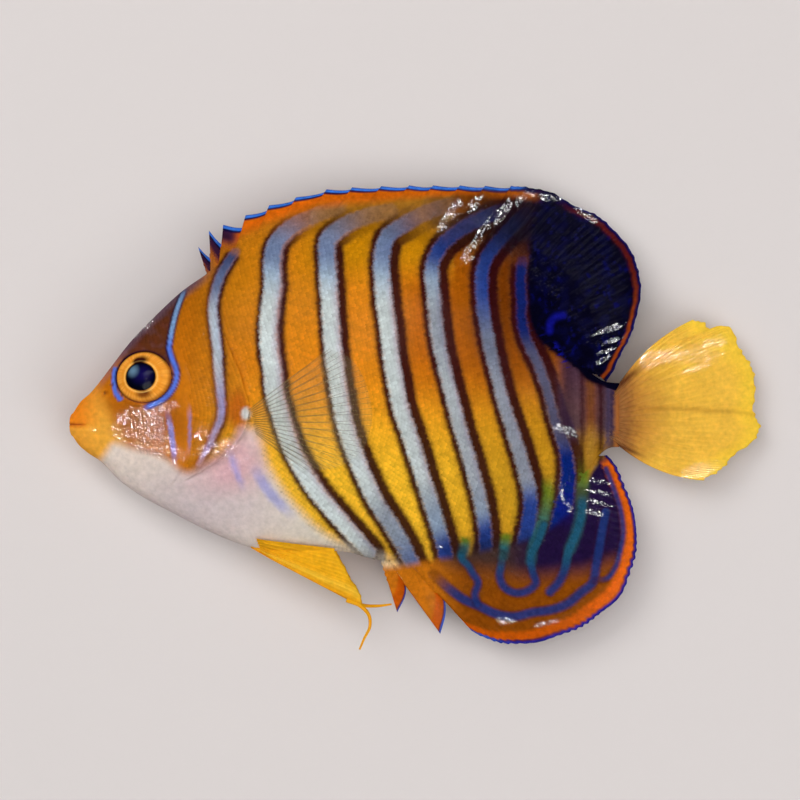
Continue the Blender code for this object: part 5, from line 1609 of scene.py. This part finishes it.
eye_finish = wet_finish(
    "eye_gloss", roughness=0.25, coat_roughness=0.015, bumps=0.03, grain=0.06, soft=0.0, coat=0.006
)
for side, word in SIDES:
    place, normal = facing(EYE_X, EYE_Y, side)
    turn = Vector((0, 0, side)).rotation_difference(normal).to_matrix()
    polar = np.linspace(0, 1, EYE_RINGS)[1:] ** 1.25 * math.pi * 0.985
    spoke = np.linspace(0, 2 * math.pi, EYE_SPOKES, endpoint=False)
    polar_grid, spoke_grid = np.meshgrid(polar, spoke, indexing="ij")
    a, b = np.sin(polar_grid) * np.cos(spoke_grid), np.sin(polar_grid) * np.sin(spoke_grid)
    c = np.cos(polar_grid) * (1 + 0.1 * bump(np.sin(polar_grid), 0.5) * (polar_grid < 1.6))
    local = np.stack([a * EYE_LENGTH, b * EYE_HEIGHT, side * c * EYE_DEPTH], axis=-1).reshape(-1, 3)
    middle = place - np.array(normal) * EYE_SUNK
    points = local @ np.array(turn).T + middle
    eye = new_piece(f"eyeball_{word}", points, loop_faces(EYE_RINGS - 1, EYE_SPOKES), eye_finish)
    radial = np.where(polar_grid < math.pi / 2, np.sin(polar_grid), 1.0).reshape(-1)
    set_colours(eye, paint_eye(local[:, 0], local[:, 1], radial, spoke_grid.reshape(-1)))
    dress(eye, "eye", f"eye_{word}")

# %% [markdown]
# ## Scales
# Small rough-edged scales cover the flank, the cheek and the roots of the fins in slanting rows, each one over
# the next towards the tail. Thousands of them are one shape set down on points, which is what Geometry Nodes
# are for. The rows follow the sections of the body, and each scale takes the skin's colour at its root, so the
# edges of the stripes get the fine teeth that they have on a real fish.

# %% One scale
SCALE_SIDES, SCALE_THICKNESS, SCALE_DOME, SCALE_TILT = 7, 0.07, 0.1, math.radians(7)
SCALE_POINTS = 2 * SCALE_SIDES + 1
BAKE_PATCH = 0.003


def scale_shape():
    """A thin domed plate, 2 long and 2 wide, rounded towards the tail and narrower at its root."""
    bm = bmesh.new()
    top, low = [], []
    for k in range(SCALE_SIDES):
        turn = 2 * math.pi * (k + 0.5) / SCALE_SIDES
        x, y = math.cos(turn), math.sin(turn) * (1.0 if math.cos(turn) > 0 else 0.82)
        top.append(bm.verts.new((x, y, 0)))
        low.append(bm.verts.new((x * 0.97, y * 0.97, -SCALE_THICKNESS)))
    middle = bm.verts.new((0.1, 0, SCALE_DOME))
    for k in range(SCALE_SIDES):
        n = (k + 1) % SCALE_SIDES
        bm.faces.new((top[k], top[n], middle))
        bm.faces.new((top[k], low[k], low[n], top[n]))
    bm.faces.new(low[::-1])
    mesh = bpy.data.meshes.new("one_scale")
    bm.to_mesh(mesh)
    bm.free()
    mesh.shade_smooth()
    mesh.set_sharp_from_angle(angle=math.radians(50))
    return mesh


pattern = bpy.data.objects.new("one_scale", scale_shape())


def scale_tree():
    """A node tree that sets a scale down on each point, turned and sized by the point's own values."""
    tree, add, given = new_tree("scales_on_points", Pattern="Object", Patch="Float", Finish="Material")

    def named(name):
        return add("GeometryNodeInputNamedAttribute", data_type="FLOAT_VECTOR", Name=name).outputs["Attribute"]

    def store(name, kind, domain, geometry, value):
        keeper = add(
            "GeometryNodeStoreNamedAttribute", data_type=kind, domain=domain, Name=name, Geometry=geometry, Value=value
        )
        return keeper.outputs["Geometry"]

    shape = add("GeometryNodeObjectInfo", Object=given["Pattern"]).outputs["Geometry"]
    marked = store("own", "FLOAT_VECTOR", "POINT", shape, add("GeometryNodeInputPosition").outputs[0])
    spread = add(
        "GeometryNodeInstanceOnPoints", Points=given["Geometry"], Instance=marked, Rotation=named("turn"),
        Scale=named("size"),
    )
    solid = add("GeometryNodeRealizeInstances", Geometry=spread.outputs["Instances"]).outputs["Geometry"]
    # Each scale's patch of the unwrap: half the patch's size to either side of its root's place
    half = add("ShaderNodeMath", operation="MULTIPLY", _0=given["Patch"], _1=0.5).outputs["Value"]
    shift = add("ShaderNodeVectorMath", operation="SCALE", Vector=named("own"), Scale=half).outputs["Vector"]
    place = add("ShaderNodeVectorMath", operation="ADD", _0=named("root_place"), _1=shift).outputs["Vector"]
    end_tree(add, store("OFBake", "FLOAT2", "CORNER", solid, place), given)
    return tree


SCALES = scale_tree()
draw = np.random.default_rng(7)


def scales(name, points, normals, rearward, half_length, half_width, paint, unwrap, material):
    """One solid scale on each point, lying rearward along the skin, as one piece."""
    mesh = bpy.data.meshes.new(name + "_points")
    mesh.from_pydata(to_frame(points).tolist(), [], [])
    turns = []
    tilts = SCALE_TILT * (1 + 0.25 * draw.standard_normal(len(points)))
    swing = 0.09 * draw.standard_normal(len(points))
    for normal, run, tilt, sway in zip(normals, rearward, tilts, swing):
        up = Vector(normal).normalized()
        ahead = (Vector(run) - up * Vector(run).dot(up)).normalized()
        aside = up.cross(ahead)
        ahead = (ahead * math.cos(sway) + aside * math.sin(sway)).normalized()
        ahead, up = ahead * math.cos(tilt) + up * math.sin(tilt), up * math.cos(tilt) - ahead * math.sin(tilt)
        turns.append(Matrix((ahead, up.cross(ahead), up)).transposed().to_euler())
    vary = 1 + 0.07 * draw.standard_normal((len(points), 1))
    size = np.column_stack([half_length, half_width, (half_length + half_width) / 2]) * vary * MM
    for label, values in (("turn", np.array(turns)), ("size", size), ("root_place", unwrap)):
        layer = mesh.attributes.new(label, "FLOAT_VECTOR", "POINT")
        layer.data.foreach_set("vector", np.asarray(values, np.float32).reshape(-1))
    piece = grown(name, mesh, SCALES, {"Pattern": pattern, "Patch": BAKE_PATCH, "Finish": material})
    place = places_of(piece)
    whose = np.repeat(np.arange(len(points)), SCALE_POINTS)
    tint = paint(place[:, 0], place[:, 1], whose) * (1 + 0.06 * draw.standard_normal(len(points)))[whose][:, None]
    set_colours(piece, np.clip(tint, 0, 1))
    return piece


# %% The finish of a scale


def scale_shade(add, colour):
    """Darkens the root of each scale as painted shade, and brightens its free edge as a painted highlight."""
    own = add("ShaderNodeAttribute", attribute_name="own").outputs["Vector"]
    along = add("ShaderNodeSeparateXYZ", Vector=own).outputs["X"]
    level = add("ShaderNodeMapRange", Value=along, From_Min=-0.9, From_Max=0.9, To_Min=0.86, To_Max=1.08)
    shaded = add("ShaderNodeVectorMath", operation="SCALE", Vector=colour, Scale=level.outputs["Result"])
    return shaded.outputs["Vector"]


scale_finish = wet_finish("wet_scales", bumps=0.2, grain=0.1, soft=0.08, shade=scale_shade)

# %% Rows of scales on the body
FLANK_PITCH, FLANK_ROW, HEAD_PITCH, HEAD_ROW = 0.46, 0.42, 0.38, 0.35
FLOOR_ROOM, SPLIT_X = 0.2, 33.0
LAST_SCALE = 67.6
ring_angle = np.linspace(0.05, math.pi - 0.05, 400)


def surface(x, angle, side):
    """Place, outward normal and rearward direction on the skin."""
    near = 0.05
    place = flesh(x, angle, side, fine=False)
    run = flesh(x + near, angle, side, fine=False) - flesh(x - near, angle, side, fine=False)
    around = flesh(x, angle + near / 20, side, fine=False) - flesh(x, angle - near / 20, side, fine=False)
    normal = np.cross(run, around) * -side
    return place, normal, run


def rows_between(first, last, pitch, row, side):
    """Distance and angle of scales in staggered rows, between two lines given as functions of the angle."""
    found_x, found_angle = [], []
    gap = float(np.median(last(ring_angle) - first(ring_angle)))
    count = int(gap / pitch)
    for column in range(count + 1):
        x = first(ring_angle) + (last(ring_angle) - first(ring_angle)) * column / count
        ring = flesh(x, ring_angle, side, fine=False)
        run = np.concatenate([[0], np.cumsum(np.linalg.norm(np.diff(ring[:, 1:], axis=0), axis=1))])
        run = run - np.interp(math.pi / 2, ring_angle, run) + (column % 2) * row / 2
        steps = np.arange(math.ceil(run[0] / row), math.floor(run[-1] / row) + 1) * row
        found_angle.append(np.interp(steps, run, ring_angle))
        found_x.append(np.interp(found_angle[-1], ring_angle, x))
    return np.concatenate(found_x), np.concatenate(found_angle)


def body_scales(side, word):
    """The scales of one flank and one side of the head."""
    x_flank, a_flank = rows_between(
        lambda a: gill_x(a) + 0.25, lambda a: np.full_like(a, LAST_SCALE), FLANK_PITCH, FLANK_ROW, side
    )
    x_head, a_head = rows_between(
        lambda a: 2.0 + gill_x(a) * 0.2, lambda a: gill_x(a) - 0.25, HEAD_PITCH, HEAD_ROW, side
    )
    y_head = section(x_head, a_head)[0]
    from_eye = np.hypot((x_head - EYE_X) / EYE_LENGTH, (y_head - EYE_Y) / EYE_HEIGHT)
    above, _ = belly_edge_line(x_head, y_head)
    keep = (from_eye > 1.3) & (x_head > 7.2 - 0.3 * y_head) & (y_head < back(x_head) - 0.25) & (above > -0.4)
    x_head, a_head = x_head[keep], a_head[keep]
    y_flank = section(x_flank, a_flank)[0]
    above, _ = belly_edge_line(x_flank, y_flank)
    above = np.where(above > FAR - 1, np.where((y_flank < -8) & (x_flank < 32), -FAR, FAR), above)
    bare = 1 - ramp(x_flank, 27, 33)
    keep = (above > -0.6) | (x_flank > 32)
    x_flank, a_flank, fade = x_flank[keep], a_flank[keep], (bare * (1 - ramp(above, -0.6, 2.2)))[keep]
    x, angle = np.concatenate([x_flank, x_head]), np.concatenate([a_flank, a_head])
    small = np.concatenate([1 - 0.5 * fade, np.full(len(x_head), 0.82)])
    y = section(x, angle)[0]
    keep = ((back(x) - y > 0.9) | (x < 18)) & ((y - belly(x) > 0.9) | (x < 40))
    x, angle, small = x[keep], angle[keep], small[keep]
    x = x + 0.02 * draw.standard_normal(len(x))
    place, normal, run = surface(x, angle, side)
    if side < 0:
        place[:, 2] = np.maximum(place[:, 2], FLOOR_ROOM - REST_HEIGHT)
    small = small * (0.9 + 0.1 * ramp(np.sin(angle), 0.15, 0.6)) * (1 - 0.12 * ramp(x, 56, 64))
    unwrap = np.column_stack([0.02 + x / 72, 0.03 + 0.94 * angle / math.pi, np.zeros(len(x))])
    for part, chosen in (("front", x < SPLIT_X), ("rear", x >= SPLIT_X)):
        piece = scales(
            f"scales_{part}_{word}", place[chosen], normal[chosen], run[chosen], 0.36 * small[chosen],
            0.285 * small[chosen], lambda x, y, whose: paint_body(x, y), unwrap[chosen], scale_finish,
        )
        dress(piece, "skin_banded")


for side, word in SIDES:
    body_scales(side, word)

# %% Scales on the roots of the fins
FIN_PITCH, FIN_ROW = 0.4, 0.36
LEAN_BACK = 0.7


def fin_scales(name, sheet, paint, cover, slot):
    """Small scales on both faces of a fin, from inside the flank out to a share of its length."""
    depths = np.arange(-FILLET_SUNK + 1.1, cover * float(sheet.length.max()), FIN_ROW)
    spots = np.concatenate([rows_on_sheet(sheet, depths, FIN_PITCH, side, cover) for side in (1, -1)])
    place, normal, run, rim = spots[:, :3], spots[:, 3:6], spots[:, 6:9] + np.array([LEAN_BACK, 0, 0]), spots[:, 9]
    half = 0.27 * (1 - 0.35 * ramp(rim, 6, 1.5))
    lower = (place[:, 2] < 0) * 0.5
    unwrap = np.column_stack([0.02 + place[:, 0] / 160 + lower, 0.05 + (place[:, 1] + 32) / 66, 0 * lower])
    piece = scales(
        name, place, normal, run, 1.15 * half, half, lambda x, y, whose: paint(x, y, rim[whose]), unwrap, scale_finish
    )
    dress(piece, slot)


fin_scales("scales_back_fin_front", spiny_sheet, paint_back_fin, 0.42, "fin_orange")
fin_scales("scales_back_fin_rear", soft_sheet, paint_soft_lobe, 0.42, "fin_blue")
fin_scales("scales_under_fin", under_sheet, paint_anal_fin, 0.45, "fin_orange")

low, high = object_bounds()
print("visual box, mm:", [round(v / MM, 2) for v in low], [round(v / MM, 2) for v in high])
